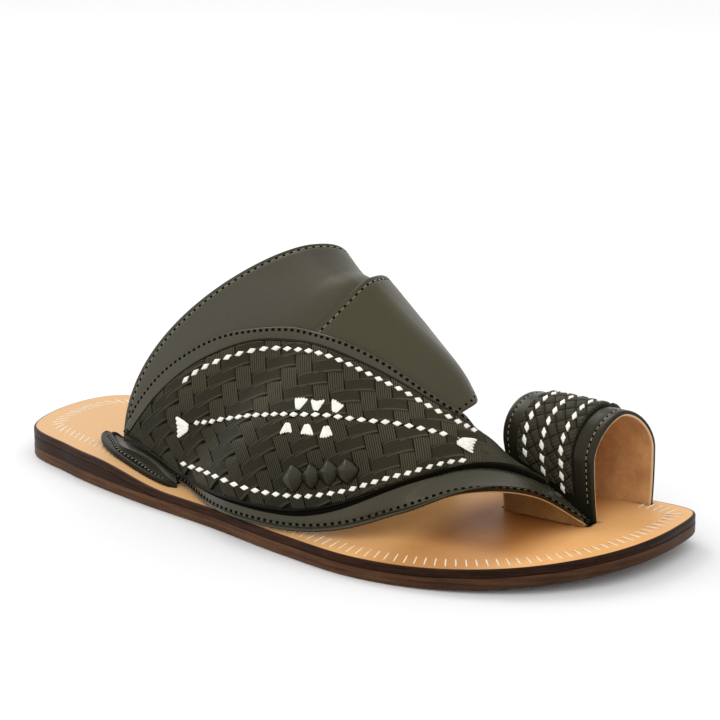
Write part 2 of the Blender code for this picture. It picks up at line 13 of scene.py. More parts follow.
import bmesh
import bpy
import numpy as np
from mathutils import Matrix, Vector

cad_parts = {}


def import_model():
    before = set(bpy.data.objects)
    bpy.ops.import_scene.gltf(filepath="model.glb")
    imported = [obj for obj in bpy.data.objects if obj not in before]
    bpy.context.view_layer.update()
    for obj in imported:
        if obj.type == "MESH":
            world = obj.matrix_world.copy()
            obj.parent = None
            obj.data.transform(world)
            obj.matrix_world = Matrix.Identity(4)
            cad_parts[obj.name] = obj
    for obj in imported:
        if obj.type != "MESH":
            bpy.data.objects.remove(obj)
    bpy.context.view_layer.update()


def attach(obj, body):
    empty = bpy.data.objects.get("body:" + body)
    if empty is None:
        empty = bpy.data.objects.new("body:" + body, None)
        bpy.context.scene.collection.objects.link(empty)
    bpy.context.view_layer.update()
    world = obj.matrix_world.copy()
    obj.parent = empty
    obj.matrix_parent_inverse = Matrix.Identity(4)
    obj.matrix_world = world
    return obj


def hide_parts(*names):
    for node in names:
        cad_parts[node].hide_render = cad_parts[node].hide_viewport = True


MM = 0.001
ORIGIN = np.array([-142.4, -0.65, 0.0])
BODY = "root"
log = logging.getLogger("sandal")

# ---------------------------------------------------------------- the last and the sole, as sizes

LENGTH = 285.0
OUTSOLE_THICK = 4.5
INSOLE_THICK = 2.86
LAYER_GAP = 0.3
HEEL_RISE = 4.44
HEEL_END = 56.7
WAIST = 103.1
TOE_START = 205.0
TOE_SPRING = 5.95
TOE_RUN = 80.0
FOOT_DEPTH = 2.3
SLOT_PLAY = 0.35
LEATHER = 1.8
TAIL_LEATHER = 2.0
LIFT_START = 1.7
DROP_START = 4.4
DROP_RUN = 0.7
PANEL_GAP = 0.35
PLACE_LENGTH = 27.0

SOLE_OUTLINE = (
    (0.3, 1.2), (8.8, -23.9), (38.2, -34.8), (82.3, -43.3), (126.4, -47.8), (165.3, -53.6),
    (199.3, -55.5), (233.7, -46.5), (261.4, -28.1), (278.9, -2.9), (284.6, 25.9), (281.9, 45.5),
    (256.4, 55.3), (208.9, 54.9), (153.5, 46.2), (99.8, 39.4), (58.6, 40.4), (27.8, 39.4), (5.1, 26.0),
)
# One rib of the last in a row: lateral foot (x, y, z), crown (x, y, z), run over the crown (x, y),
# roundness of the lateral hull and wall, and of the medial hull.
RIBS = (
    (57.5, -19.5, 10.8, 126.4, 14.6, 97.5, -27.0, -46.5, 1.81, 2.05, 2.30),
    (84.3, -26.0, 8.2, 144.6, 9.7, 90.0, -11.4, -43.0, 1.82, 1.82, 2.20),
    (106.6, -32.9, 8.2, 157.7, 8.4, 87.8, 3.5, -37.0, 1.73, 1.31, 2.50),
    (138.2, -45.3, 8.0, 174.2, 7.9, 73.6, 11.9, -31.0, 1.62, 1.64, 2.40),
    (171.6, -43.0, 8.7, 194.4, 9.4, 57.9, 18.3, -24.1, 1.74, 1.65, 1.80),
    (198.6, -28.5, 15.8, 207.0, 8.7, 40.9, 20.0, -16.4, 1.50, 1.57, 2.50),
    (219.6, -14.4, 24.4, 220.0, 11.2, 28.6, 16.2, -7.9, 1.69, 1.25, 1.75),
    (237.0, 3.7, 21.9, 237.7, 15.0, 19.8, 6.0, -4.6, 1.64, 1.00, 2.10),
    (254.0, 15.2, 10.8, 253.5, 15.3, 10.2, 0.8, -1.2, 1.65, 1.00, 2.10),
)
# Medial feet (x, y) of the ribs: along the instep for the bands, in the toe slot for the vamp.
INSTEP_FEET = ((118.0, 37.0), (130.0, 37.5), (142.0, 38.5), (162.0, 41.0), (184.0, 44.0), (205.0, 46.5))
TOE_FEET = ((213.0, 19.2),) * 6 + ((227.0, 18.0), (241.0, 16.8), (253.0, 15.8))

# Band edges: place along the ribs, first angle, step back past the crown.
REAR_BAND = ((0.0, 0.0, 0.0), (1.2, 0.0, 0.0), (1.6, 10.0, 0.0), (2.4, 30.0, 0.0))
FRONT_BAND = ((2.0, 30.0, 0.0), (4.0, 34.0, 0.5), (4.5, 50.0, 0.8))
STEP_BACK_FROM = 82.0
STEP_BACK_TURN = 45.0
# Vamp and woven panel: place and angle of the lower edge, then of the upper edge, row by row.
LEAF = (
    (0.10, 0.0, 0.12, 7.0), (0.70, 0.0, 0.28, 18.0), (1.30, 0.0, 0.52, 33.0), (2.00, 0.0, 0.88, 47.0),
    (2.70, 0.0, 1.55, 57.0), (3.30, 0.0, 2.40, 61.2), (3.90, 0.0, 3.25, 64.5), (4.50, 0.0, 3.95, 66.1),
    (5.10, 0.0, 4.48, 70.0), (5.70, 0.0, 4.96, 78.0), (6.40, 0.0, 5.18, 95.0), (7.10, 0.0, 5.24, 121.0),
    (7.90, 0.0, 5.22, 151.0), (8.00, 180.0, 5.18, 180.0),
)
PANEL = (
    (0.24, 5.5, 0.26, 6.5), (0.80, 5.5, 0.45, 14.5), (1.25, 5.8, 0.62, 24.0), (1.75, 6.0, 0.90, 38.0),
    (2.30, 6.2, 1.32, 49.5), (2.95, 6.9, 2.00, 56.0), (3.50, 8.2, 2.75, 58.4), (4.00, 11.0, 3.45, 61.2),
    (4.45, 18.0, 4.10, 64.0), (4.90, 31.0, 4.70, 69.0), (5.30, 44.5, 5.25, 80.0),
    (5.85, 58.0, 5.85, 92.0), (6.40, 70.0, 6.45, 94.0), (6.82, 74.0, 6.86, 82.0),
)
# Lines of the lacing on the panel, as place and angle.
UPPER_LACE = (
    (0.90, 28.2), (0.93, 30.1), (0.99, 33.4), (1.11, 38.0), (1.29, 43.1), (1.53, 48.0), (1.81, 51.4),
    (2.18, 53.6), (2.54, 54.9), (2.86, 55.9), (3.16, 56.8), (3.44, 57.8), (3.71, 59.1), (4.01, 60.0),
    (4.30, 61.3), (4.54, 63.2), (4.74, 66.0), (5.00, 71.0),
)
MIDDLE_LACE = (
    (1.50, 23.0), (1.76, 26.9), (1.98, 29.9), (2.36, 31.8), (2.66, 33.5), (2.88, 35.6), (3.09, 38.0),
    (3.30, 40.6), (3.54, 43.1), (3.75, 45.6), (3.96, 48.5), (4.21, 51.2), (4.50, 54.2), (4.62, 55.6),
)
LOWER_LACE = (
    (1.66, 11.0), (1.96, 12.2), (2.23, 12.7), (2.69, 12.7), (3.12, 12.8), (3.49, 14.1), (3.83, 16.2),
    (4.04, 18.6), (4.23, 21.6), (4.39, 25.5), (4.56, 29.9), (4.70, 33.4), (4.82, 37.8), (4.95, 42.6),
    (5.09, 46.6), (5.26, 50.5),
)
# Share along a lacing line and the pitch there.
UPPER_PACE = ((0.0, 5.6), (0.2, 5.6), (0.42, 5.0), (0.6, 4.3), (0.8, 4.2), (1.0, 4.1))
MIDDLE_PACE = ((0.0, 3.8), (0.08, 4.2), (0.17, 5.6), (0.3, 5.3), (0.4, 4.4), (0.55, 4.5), (1.0, 4.3))
LOWER_PACE = (
    (0.0, 5.0), (0.06, 6.5), (0.12, 8.0), (0.2, 7.0), (0.3, 5.9), (0.4, 4.8), (0.55, 4.3), (1.0, 4.3)
)
# Foot of the tab against the vamp, its bend and its outer edge, all in plan, and lifts.
TAB = (
    (46.5, -17.5, 0.0, 46.0, -18.2, 45.0, -19.4, 1.2), (49.0, -18.3, 0.2, 48.0, -20.0, 46.3, -22.5, 1.1),
    (55.5, -23.0, 0.6, 55.0, -24.2, 52.5, -28.0, 0.7), (64.5, -29.2, 1.8, 64.0, -30.2, 62.5, -33.2, 0.3),
    (75.5, -31.2, 3.2, 75.5, -32.4, 75.0, -36.6, 0.0), (86.0, -34.2, 3.6, 86.0, -35.4, 86.0, -38.6, 0.0),
    (95.0, -36.6, 1.4, 95.0, -37.6, 95.5, -39.4, 0.0), (99.5, -36.2, 0.2, 99.8, -36.8, 100.6, -37.8, -0.9),
)
# Rims of the toe ring: feet, widest and top height, bulge, roundness, lean and shift.
RING = (
    (219.3, 21.6, 226.0, 53.0, 32.5, 48.6, 1.8, 2.0, -9.9, -0.4),
    (253.7, 21.3, 261.7, 50.0, 32.9, 49.7, 1.6, 1.7, -1.9, 0.0),
)
RING_THICK = 2.0
RING_LEG = 0.27
WEAVE_FROM = 0.17
WEAVE_TO = 0.79
WEAVE_STARTS = (0.235, 0.125)
WEAVE_END = 0.93
# Two slanting axes of the shoe on which the weave's rows and columns were laid out.
ALONG_AXIS = np.array([0.804, 0.595, 0.0])
UP_AXIS = np.array([-0.166, 0.224, 0.960])


class Feet(Enum):
    """Which medial feet the ribs of the last stand on."""

    INSTEP = INSTEP_FEET
    TOES = TOE_FEET


def ease(value: np.ndarray) -> np.ndarray:
    """A smooth step: 3t² - 2t³ on 0..1."""
    share = np.clip(value, 0.0, 1.0)
    return share * share * (3.0 - 2.0 * share)


def unit(vectors: np.ndarray) -> np.ndarray:
    """The vectors at length 1; a vanishing one stays short."""
    return vectors / np.maximum(np.linalg.norm(vectors, axis=-1, keepdims=True), 1e-9)


def bent(value: np.ndarray, power: float) -> np.ndarray:
    """The size of a number raised to a power, with its sign kept."""
    return np.sign(value) * np.abs(value) ** power


def smooth(knots: Sequence[float], rows: Sequence, at: np.ndarray) -> np.ndarray:
    """A cubic Hermite curve through a table's rows, its slopes being the rows' central differences.

    Args:
        knots: Where each row stands.
        rows: One row of numbers at each knot.
        at: Where the curve is wanted.

    Returns:
        One row for each place in at.
    """
    knots, rows = np.asarray(knots, float), np.asarray(rows, float)
    at = np.clip(np.asarray(at, float), knots[0], knots[-1])
    slopes = np.gradient(rows, knots, axis=0)
    index = np.clip(np.searchsorted(knots, at, side="right") - 1, 0, len(knots) - 2)
    width = (knots[index + 1] - knots[index])[:, None]
    t = (at - knots[index])[:, None] / width
    start = (2 * t**3 - 3 * t**2 + 1) * rows[index] + (t**3 - 2 * t**2 + t) * width * slopes[index]
    end = (3 * t**2 - 2 * t**3) * rows[index + 1] + (t**3 - t**2) * width * slopes[index + 1]
    return start + end


def toe_lift(x: np.ndarray) -> np.ndarray:
    """Height of the sole's underside: a parabola from TOE_START on."""
    return TOE_SPRING * (np.maximum(x - TOE_START, 0.0) / TOE_RUN) ** 2


def heel_lift(x: np.ndarray) -> np.ndarray:
    """How much the wedge raises the insole: level under the heel and eased out to the waist."""
    return HEEL_RISE * (1.0 - ease((x - HEEL_END) / (WAIST - HEEL_END)))


def outsole_top(x: np.ndarray) -> np.ndarray:
    """Height of the outsole's upper side."""
    return OUTSOLE_THICK + toe_lift(x)


def insole_top(x: np.ndarray) -> np.ndarray:
    """Height of the insole's upper side."""
    return OUTSOLE_THICK + LAYER_GAP + INSOLE_THICK + toe_lift(x) + heel_lift(x)


def foot_height(x: np.ndarray) -> np.ndarray:
    """Height at which a strap ends inside its slot."""
    return insole_top(x) - FOOT_DEPTH


def seat(grid: np.ndarray, columns: int | list) -> None:
    """Gives the end columns of a strap's grid the height at which it stands in its slot."""
    grid[:, columns, 2] = foot_height(grid[:, columns, 0])


def rib_values(place: np.ndarray, feet: Feet) -> np.ndarray:
    """The ribs' values and medial feet at places along the last.

    Args:
        place: Places along the ribs.
        feet: Which medial feet the ribs stand on.

    Returns:
        One row for each place.
    """
    ends = np.array(feet.value)
    ribs = np.hstack([np.array(RIBS)[: len(ends)], ends])
    return smooth(np.arange(len(ribs)), ribs, place)


def arch(place: np.ndarray, angle: np.ndarray, feet: Feet) -> np.ndarray:
    """Points of the last: in plan a superellipse from foot to crown, in height another one.

    Args:
        place: Place along the ribs.
        angle: 0 at the lateral foot, a right angle at the crown, two at the medial foot.
        feet: Which medial feet the ribs stand on.

    Returns:
        One point a row.
    """
    row = rib_values(place, feet)
    lateral, crown, run = row[:, 0:3], row[:, 3:6], row[:, 6:8]
    medial = np.column_stack([row[:, 11:13], foot_height(row[:, 11])])
    before = angle < math.pi / 2
    hull = np.where(before, row[:, 8], row[:, 10])
    wall = np.where(before, row[:, 9], row[:, 10])
    cosine = np.cos(angle)
    reach = np.abs(cosine) ** (2.0 / hull)
    rise = np.maximum(1.0 - reach**hull, 0.0) ** (1.0 / wall)
    foot = np.where(before[:, None], lateral, medial)
    side = np.sign(cosine)[:, None] * run
    plan = crown[:, :2] + side * reach[:, None] + (foot[:, :2] - crown[:, :2] - side) * reach[:, None] ** 2
    height = foot[:, 2] + (crown[:, 2] - foot[:, 2]) * rise
    return np.column_stack([plan, height])


def normals_on_last(place: np.ndarray, angle: np.ndarray, feet: Feet) -> np.ndarray:
    """Unit normals of the last: the cross product of its two central differences.

    Args:
        place: Places along the ribs.
        angle: Angles round them, in radians.
        feet: Which medial feet the ribs stand on.

    Returns:
        One unit vector a row, pointing out.
    """
    limit = len(feet.value) - 1
    step = 0.002
    inside = np.clip(angle, 0.02, math.pi - 0.02)
    ahead = arch(np.minimum(place + step, limit), inside, feet)
    behind = arch(np.maximum(place - step, 0.0), inside, feet)
    over = arch(place, inside + step, feet) - arch(place, inside - step, feet)
    return unit(np.cross(ahead - behind, over))


def on_last(place: np.ndarray, angle: np.ndarray, lift: np.ndarray, feet: Feet) -> np.ndarray:
    """Points at a distance outside the last, as a grid of the same shape as place.

    Args:
        place: Places along the ribs.
        angle: Angles round them, in radians.
        lift: Distance outside the surface.
        feet: Which medial feet the ribs stand on.

    Returns:
        One point for each place.
    """
    lift = np.broadcast_to(lift, place.shape).reshape(-1, 1)
    flat_place, flat_angle = place.ravel(), angle.ravel()
    normal = normals_on_last(flat_place, flat_angle, feet)
    return (arch(flat_place, flat_angle, feet) + normal * lift).reshape(*place.shape, 3)


def leaf_lift(place: np.ndarray) -> np.ndarray:
    """Outer side of the vamp: over one band, over both bands, and alone over the toes."""
    past_bands = ease((place - DROP_START) / DROP_RUN)
    return 2 * LEATHER + LEATHER * ease(place - LIFT_START) - (3 * LEATHER - TAIL_LEATHER) * past_bands


def tail_fade(place: np.ndarray) -> np.ndarray:
    """How far the weave's relief has faded towards the toes: 0 over the instep, 1 at the tail."""
    return ease((place - 4.2) / 1.1)


def outline_grid(table: Sequence, row: np.ndarray, share: np.ndarray) -> tuple[np.ndarray, np.ndarray]:
    """Place and angle for rows along an outline table and shares across it, a straight mix of its edges.

    Args:
        table: Rows of the outline, lower edge and then upper edge.
        row: Where along the table each row of the grid lies.
        share: Share from the lower to the upper edge, row by row.

    Returns:
        Grids of places and of angles.
    """
    ends = smooth(np.arange(len(table)), table, row)
    low, high = ends[:, None, 0:2], ends[:, None, 2:4]
    both = low + (high - low) * share[..., None]
    return both[..., 0], np.radians(np.clip(both[..., 1], 0.0, 180.0))


def ring_rim(rim: Sequence[float], turn: np.ndarray) -> np.ndarray:
    """Points of one rim of the toe ring: a bulging leg, a superellipse crown and the other leg.

    Args:
        rim: The rim's ten sizes.
        turn: Share of the way round, from 0 to 1.

    Returns:
        One point a row.
    """
    lat_x, lat_y, med_x, med_y, widest_z, top_z, bulge, roundness, lean, shift = rim
    lateral, medial = np.array([lat_x, lat_y]), np.array([med_x, med_y])
    half = np.linalg.norm(medial - lateral) / 2.0
    across = (medial - lateral) / (2.0 * half)
    ahead = np.array([across[1], -across[0]])
    wide = half + bulge
    base = foot_height(lat_x + (med_x - lat_x) * turn)
    climb = np.clip(np.minimum(turn, 1.0 - turn) / RING_LEG, 0.0, 1.0)
    round_turn = np.clip((turn - RING_LEG) / (1.0 - 2.0 * RING_LEG), 0.0, 1.0) * math.pi
    power = 2.0 / roundness
    side = -bent(np.cos(round_turn), power)
    width = side * np.where(climb < 1.0, wide - bulge * (1.0 - climb) ** 2, wide)
    height = base + (widest_z - base) * climb
    height = height + (top_z - widest_z) * np.sin(round_turn) ** power
    share = np.clip((height - base) / (top_z - base), 0.0, 1.0)
    middle = (lateral + medial) / 2.0
    plan = middle + across * (width + shift * share)[:, None] + ahead * (lean * share)[:, None]
    return np.column_stack([plan, height])


def between_rims(place: np.ndarray, turn: np.ndarray) -> np.ndarray:
    """Points of the ring's outer side, a straight mix of its two rims."""
    rear, front = ring_rim(RING[0], turn), ring_rim(RING[1], turn)
    return rear + (front - rear) * place[:, None]


def on_ring(place: np.ndarray, turn: np.ndarray, lift: np.ndarray) -> np.ndarray:
    """Points at a distance outside the toe ring, as a grid of the same shape as place.

    Args:
        place: Share from the rear rim to the front one.
        turn: Share of the way round.
        lift: Distance outside the surface.

    Returns:
        One point for each place.
    """
    flat_place, flat_turn = place.ravel(), turn.ravel()
    step = 0.004
    inside = np.clip(flat_turn, step, 1.0 - step)
    along = between_rims(flat_place + step, inside) - between_rims(flat_place - step, inside)
    over = between_rims(flat_place, inside + step) - between_rims(flat_place, inside - step)
    normal = unit(np.cross(along, over))
    lift = np.broadcast_to(lift, place.shape).reshape(-1, 1)
    return (between_rims(flat_place, flat_turn) + normal * lift).reshape(*place.shape, 3)


# ---------------------------------------------------------------- meshes


def reach_along(points: np.ndarray, axis: int) -> np.ndarray:
    """Length run along one axis of a grid of points, from 0 at its start.

    Args:
        points: Grid of points.
        axis: Axis to run along, 0 or 1.

    Returns:
        Grid of lengths.
    """
    steps = np.linalg.norm(np.diff(points, axis=axis), axis=-1)
    pad = [(0, 0), (0, 0)]
    pad[axis] = (1, 0)
    return np.pad(np.cumsum(steps, axis=axis), pad)


def closing(share: np.ndarray, depth: float) -> np.ndarray:
    """Drop of a rounded rim at a distance from it: a quarter circle of that depth."""
    near = np.clip(1.0 - share / depth, 0.0, 1.0)
    return depth * (1.0 - np.sqrt(1.0 - near**2))


def crease(distance: np.ndarray, centre: float, width: float) -> np.ndarray:
    """A soft groove or ridge of height 1: the bell curve of the distance from its centre."""
    return np.exp(-(((distance - centre) / width) ** 2))


def shares(widths: np.ndarray, steps: Sequence[float], middle: int) -> np.ndarray:
    """Shares across rows of given widths: fixed steps in from both edges, even steps between them.

    Args:
        widths: Width of each row.
        steps: Distances from an edge.
        middle: How many even steps follow.

    Returns:
        One row of shares for each width.
    """
    fine = np.asarray(steps)
    limit = 0.42 * np.arange(len(fine)) / (len(fine) - 1)
    low = np.minimum(fine[None] / widths[:, None], limit[None])
    inner = low[:, -1:] + (1.0 - 2.0 * low[:, -1:]) * np.linspace(0.0, 1.0, middle + 2)[None, 1:-1]
    return np.hstack([low, inner, 1.0 - low[:, ::-1]])


@dataclass
class Frames:
    """Places where small parts are set: origins and three unit axes."""

    origin: np.ndarray
    along: np.ndarray
    across: np.ndarray
    normal: np.ndarray

    def moved(self, along: float = 0.0, across: float = 0.0, normal: float = 0.0) -> "Frames":
        """The same frames moved along their own axes."""
        shift = self.along * along + self.across * across + self.normal * normal
        return Frames(self.origin + shift, self.along, self.across, self.normal)

    def turned(self, angle: np.ndarray) -> "Frames":
        """The same frames turned about their normals by an angle.

        Args:
            angle: In radians, one number or one for each frame.

        Returns:
            The turned frames.
        """
        angle = np.broadcast_to(angle, len(self.origin))[:, None]
        along = self.along * np.cos(angle) + self.across * np.sin(angle)
        return Frames(self.origin, along, np.cross(self.normal, along), self.normal)


@dataclass
class Line:
    """A line on a surface with its normals."""

    points: np.ndarray
    normals: np.ndarray

    def frames(self, pitch: float, start: float = 0.0, end: float = 0.0) -> Frames:
        """Frames set out evenly along the line.

        Args:
            pitch: Rough distance between them; it is stretched to fit.
            start: Length left free at the start.
            end: Length left free at the end.

        Returns:
            The frames, their first axis along the line.
        """
        run = self.run()
        count = max(int(round((run[-1] - start - end) / pitch)), 1)
        return self.frames_at(start + (np.arange(count) + 0.5) * (run[-1] - start - end) / count)

    def run(self) -> np.ndarray:
        """Length run at each point."""
        return np.concatenate([[0.0], np.cumsum(np.linalg.norm(np.diff(self.points, axis=0), axis=1))])

    def paced(self, paces: Sequence) -> tuple[Frames, np.ndarray]:
        """Frames whose pitch runs smoothly through rows of share and pitch, and each one's pitch.

        Args:
            paces: Rows of share along the line and pitch.

        Returns:
            The frames and the pitch at each.
        """
        run, rows = self.run(), np.array(paces)
        pitch = smooth(rows[:, 0], rows[:, 1:], run / run[-1])[:, 0]
        passed = np.concatenate([[0.0], np.cumsum(np.diff(run) / pitch[1:])])
        count = int(round(passed[-1]))
        at = np.interp((np.arange(count) + 0.5) / count * passed[-1], passed, run)
        return self.frames_at(at), np.interp(at, run, pitch)

    def frames_at(self, at: np.ndarray) -> Frames:
        """Frames at given lengths along the line.

        Args:
            at: Lengths from the line's start.

        Returns:
            The frames, their first axis along the line.
        """
        run = self.run()
        take = lambda rows, where: np.stack([np.interp(where, run, rows[:, k]) for k in range(3)], axis=1)
        origin, normal = take(self.points, at), take(self.normals, at)
        along = take(self.points, at + 0.4) - take(self.points, at - 0.4)
        normal = unit(normal)
        along = unit(along - normal * np.sum(along * normal, axis=1)[:, None])
        return Frames(origin, along, np.cross(normal, along), normal)


def line_on_last(place: np.ndarray, angle: np.ndarray, lift: np.ndarray, feet: Feet) -> Line:
    """A line on the last through places and angles in radians."""
    return Line(on_last(place, angle, lift, feet), normals_on_last(place, angle, feet))


def traced(place: np.ndarray, angle: np.ndarray, reach: np.ndarray, inset: float) -> tuple:
    """Place and angle at which each row of a grid has run a given length."""
    return tuple(np.array([np.interp(inset, *pair) for pair in zip(reach, side)]) for side in (place, angle))


def lace_line(table: Sequence, lift: float) -> Line:
    """A lacing line on the woven panel, smooth through its table.

    Args:
        table: Rows of place and angle in degrees.
        lift: Height over the vamp.

    Returns:
        The line.
    """
    spots = smooth(np.arange(len(table)), table, np.linspace(0, len(table) - 1, 40 * len(table)))
    place, angle = spots[:, 0], np.radians(spots[:, 1])
    return line_on_last(place, angle, leaf_lift(place) + lift * (1.0 - 0.35 * tail_fade(place)), Feet.TOES)


class Shape:
    """Points, four-sided faces and named numbers, gathered for one mesh."""

    def __init__(self) -> None:
        """Starts with nothing."""
        self.points: list[np.ndarray] = []
        self.faces: list[np.ndarray] = []
        self.marks: dict[str, list[np.ndarray]] = {}
        self.size = 0

    def add(self, points: np.ndarray, faces: np.ndarray, **marks: np.ndarray) -> None:
        """Adds points and their faces, with a number for each point under each name.

        Args:
            points: One point a row.
            faces: Four indices a row.
            marks: For each name one number or one for each point.
        """
        for name, value in marks.items():
            self.marks.setdefault(name, []).append(np.broadcast_to(value, len(points)).astype(np.float32))
        self.points.append(points)
        self.faces.append(faces + self.size)
        self.size += len(points)

    def shell(self, inner: np.ndarray, outer: np.ndarray, **marks: tuple) -> None:
        """A closed wall between two grids of the same shape.

        Args:
            inner: Grid of the inner side.
            outer: Grid of the outer side.
            marks: For each name the numbers on the inner and on the outer side.
        """
        rows, columns = inner.shape[:2]
        under = np.arange(rows * columns).reshape(rows, columns)
        over = under + rows * columns
        quads = lambda a, b, c, d: np.stack([a.ravel(), b.ravel(), c.ravel(), d.ravel()], axis=1)
        faces = [
            quads(under[:-1, :-1], under[:-1, 1:], under[1:, 1:], under[1:, :-1]),
            quads(over[:-1, :-1], over[1:, :-1], over[1:, 1:], over[:-1, 1:]),
            quads(under[:-1, 0], under[1:, 0], over[1:, 0], over[:-1, 0]),
            quads(under[:-1, -1], over[:-1, -1], over[1:, -1], under[1:, -1]),
            quads(under[0, :-1], over[0, :-1], over[0, 1:], under[0, 1:]),
            quads(under[-1, :-1], under[-1, 1:], over[-1, 1:], over[-1, :-1]),
        ]
        flat = {
            name: np.concatenate([np.broadcast_to(side, (rows, columns)).ravel() for side in pair])
            for name, pair in marks.items()
        }
        points = np.vstack([inner.reshape(-1, 3), outer.reshape(-1, 3)])
        self.add(points, np.vstack(faces), **flat)

    def stamp(self, form: tuple[np.ndarray, np.ndarray], at: Frames, size: Sequence) -> None:
        """Sets one small form at many frames: origin + x·along + y·across + z·normal.

        Args:
            form: Its points and faces.
            at: Where the copies stand.
            size: Scale along the three axes, each one number or one for each copy.
        """
        points, faces = form
        count = len(at.origin)
        scale = np.stack([np.broadcast_to(s, count) for s in size], axis=1)
        axes = np.stack([at.along, at.across, at.normal], axis=1)
        placed = at.origin[:, None] + (points * scale[:, None]) @ axes
        index = faces[None] + (np.arange(count) * len(points))[:, None, None]
        self.add(placed.reshape(-1, 3), index.reshape(-1, 4))

    def build(self, name: str, finish: "Finish", sharp: float = 40.0) -> bpy.types.Object:
        """The object, with doubles merged and its faces turned outward.

        Args:
            name: Name of the piece.
            finish: Its finish.
            sharp: Angle in degrees past which an edge stays sharp.

        Returns:
            The object, in the scene.
        """
        mesh = bpy.data.meshes.new(name)
        points = (np.vstack(self.points) + ORIGIN) * MM
        mesh.from_pydata(points.tolist(), [], np.vstack(self.faces).tolist())
        for mark, parts in self.marks.items():
            layer = mesh.attributes.new(mark, "FLOAT", "POINT")
            layer.data.foreach_set("value", np.concatenate(parts))
        solid = bmesh.new()
        solid.from_mesh(mesh)
        bmesh.ops.remove_doubles(solid, verts=solid.verts, dist=2e-6)
        bmesh.ops.recalc_face_normals(solid, faces=solid.faces)
        solid.to_mesh(mesh)
        solid.free()
        mesh.shade_smooth()
        mesh.set_sharp_from_angle(angle=math.radians(sharp))
        made = bpy.data.objects.new(name, mesh)
        made.data.materials.append(finish.material())
        bpy.context.collection.objects.link(made)
        return made


def loop_faces(rows: int, columns: int) -> np.ndarray:
    """Faces between closed rings of points that are numbered ring by ring.

    Args:
        rows: Number of rings.
        columns: Points in each.

    Returns:
        Four indices a row.
    """
    grid = np.arange(rows * columns).reshape(rows, columns)
    after = np.roll(grid, -1, axis=1)
    return np.stack([grid[:-1], after[:-1], after[1:], grid[1:]], axis=-1).reshape(-1, 4)


def turned_form(rings: Sequence, sides: int, power: float) -> tuple[np.ndarray, np.ndarray]:
    """A small closed form of superellipse rings, each a spread and a height; the last spread is 0.

    Args:
        rings: Spread and height of each ring.
        sides: Points in each.
        power: Power of the cosine and the sine.

    Returns:
        Points and faces.
    """
    turn = 2.0 * math.pi * np.arange(sides) / sides
    u, v = bent(np.cos(turn), power) / 2, bent(np.sin(turn), power) / 2
    levels = [(0.0, rings[0][1]), *rings]
    points = [np.column_stack([u * spread, v * spread, np.full(sides, z)]) for spread, z in levels]
    return np.vstack(points), loop_faces(len(levels), sides)


def thread_form(sag: float, sides: int = 6) -> tuple[np.ndarray, np.ndarray]:
    """A stitch of unit length: a round thread whose ends bow down by a share of its length.

    Args:
        sag: The share by which the ends bow down.
        sides: Points round the thread.

    Returns:
        Points and faces.
    """
    x = np.array([-0.5, -0.47, -0.36, 0.0, 0.36, 0.47, 0.5])[:, None]
    radius = np.array([0.0, 0.62, 0.95, 1.0, 0.95, 0.62, 0.0])[:, None] / 2.0
    turn = 2.0 * math.pi * np.arange(sides) / sides
    height = radius * np.sin(turn) - sag * np.abs(2.0 * x) ** 3
    points = np.stack([np.repeat(x, sides, axis=1), radius * np.cos(turn), height], axis=-1)
    return points.reshape(-1, 3), loop_faces(len(x), sides)


HOLE = turned_form(((1.0, -0.4), (1.0, 0.04), (0.0, 0.05)), 8, 0.6)
LOZENGE = turned_form(((1.0, -0.6), (1.0, 0.2), (0.88, 0.72), (0.55, 0.95), (0.0, 1.0)), 12, 1.85)
STITCH = thread_form(0.16)

# ---------------------------------------------------------------- shaders


class Wire:
    """One value, colour or vector in a shader, with Python's arithmetic."""

    def __init__(self, recipe: "Recipe", socket: bpy.types.NodeSocket) -> None:
        """Wraps a socket of a recipe's tree."""
        self.recipe, self.socket = recipe, socket

    @property
    def wide(self) -> bool:
        """True for a colour or a vector."""
        return self.socket.type in ("RGBA", "VECTOR")

    def _with(self, operation: str, first: object, second: object) -> "Wire":
        """A Math node, or a Vector Math node where one side is a colour or a vector.

        Args:
            operation: Blender's name of the operation.
            first: Left side.
            second: Right side.

        Returns:
            The node's output.
        """
        wide = any(isinstance(side, Wire) and side.wide for side in (first, second))
        if not wide:
            return self.recipe.node("ShaderNodeMath", {"operation": operation}, {0: first, 1: second})
        if operation == "MULTIPLY" and not (isinstance(second, Wire) and second.wide):
            inputs = {0: first, "Scale": second}
            return self.recipe.node("ShaderNodeVectorMath", {"operation": "SCALE"}, inputs)
        return self.recipe.node("ShaderNodeVectorMath", {"operation": operation}, {0: first, 1: second})

    def __add__(self, other: object) -> "Wire":
        """self + other."""
        return self._with("ADD", self, other)

    def __radd__(self, other: object) -> "Wire":
        """other + self."""
        return self._with("ADD", self, other)

    def __sub__(self, other: object) -> "Wire":
        """self - other."""
        return self._with("SUBTRACT", self, other)

    def __rsub__(self, other: object) -> "Wire":
        """other - self."""
        return self._with("SUBTRACT", other, self)

    def __mul__(self, other: object) -> "Wire":
        """self times other."""
        return self._with("MULTIPLY", self, other)

    def __rmul__(self, other: object) -> "Wire":
        """other times self."""
        return self._with("MULTIPLY", self, other)

    def step(self, low: float, high: float) -> "Wire":
        """0 below low, 1 above high, and smooth between them."""
        settings = {"interpolation_type": "SMOOTHSTEP"}
        return self.recipe.node("ShaderNodeMapRange", settings, {0: self, 1: low, 2: high})

    def blend(self, first: object, second: object) -> "Wire":
        """first where this value is 0 and second where it is 1; both are colours."""
        settings = {"data_type": "RGBA"}
        return self.recipe.node("ShaderNodeMix", settings, {0: self, 6: first, 7: second}, output=2)


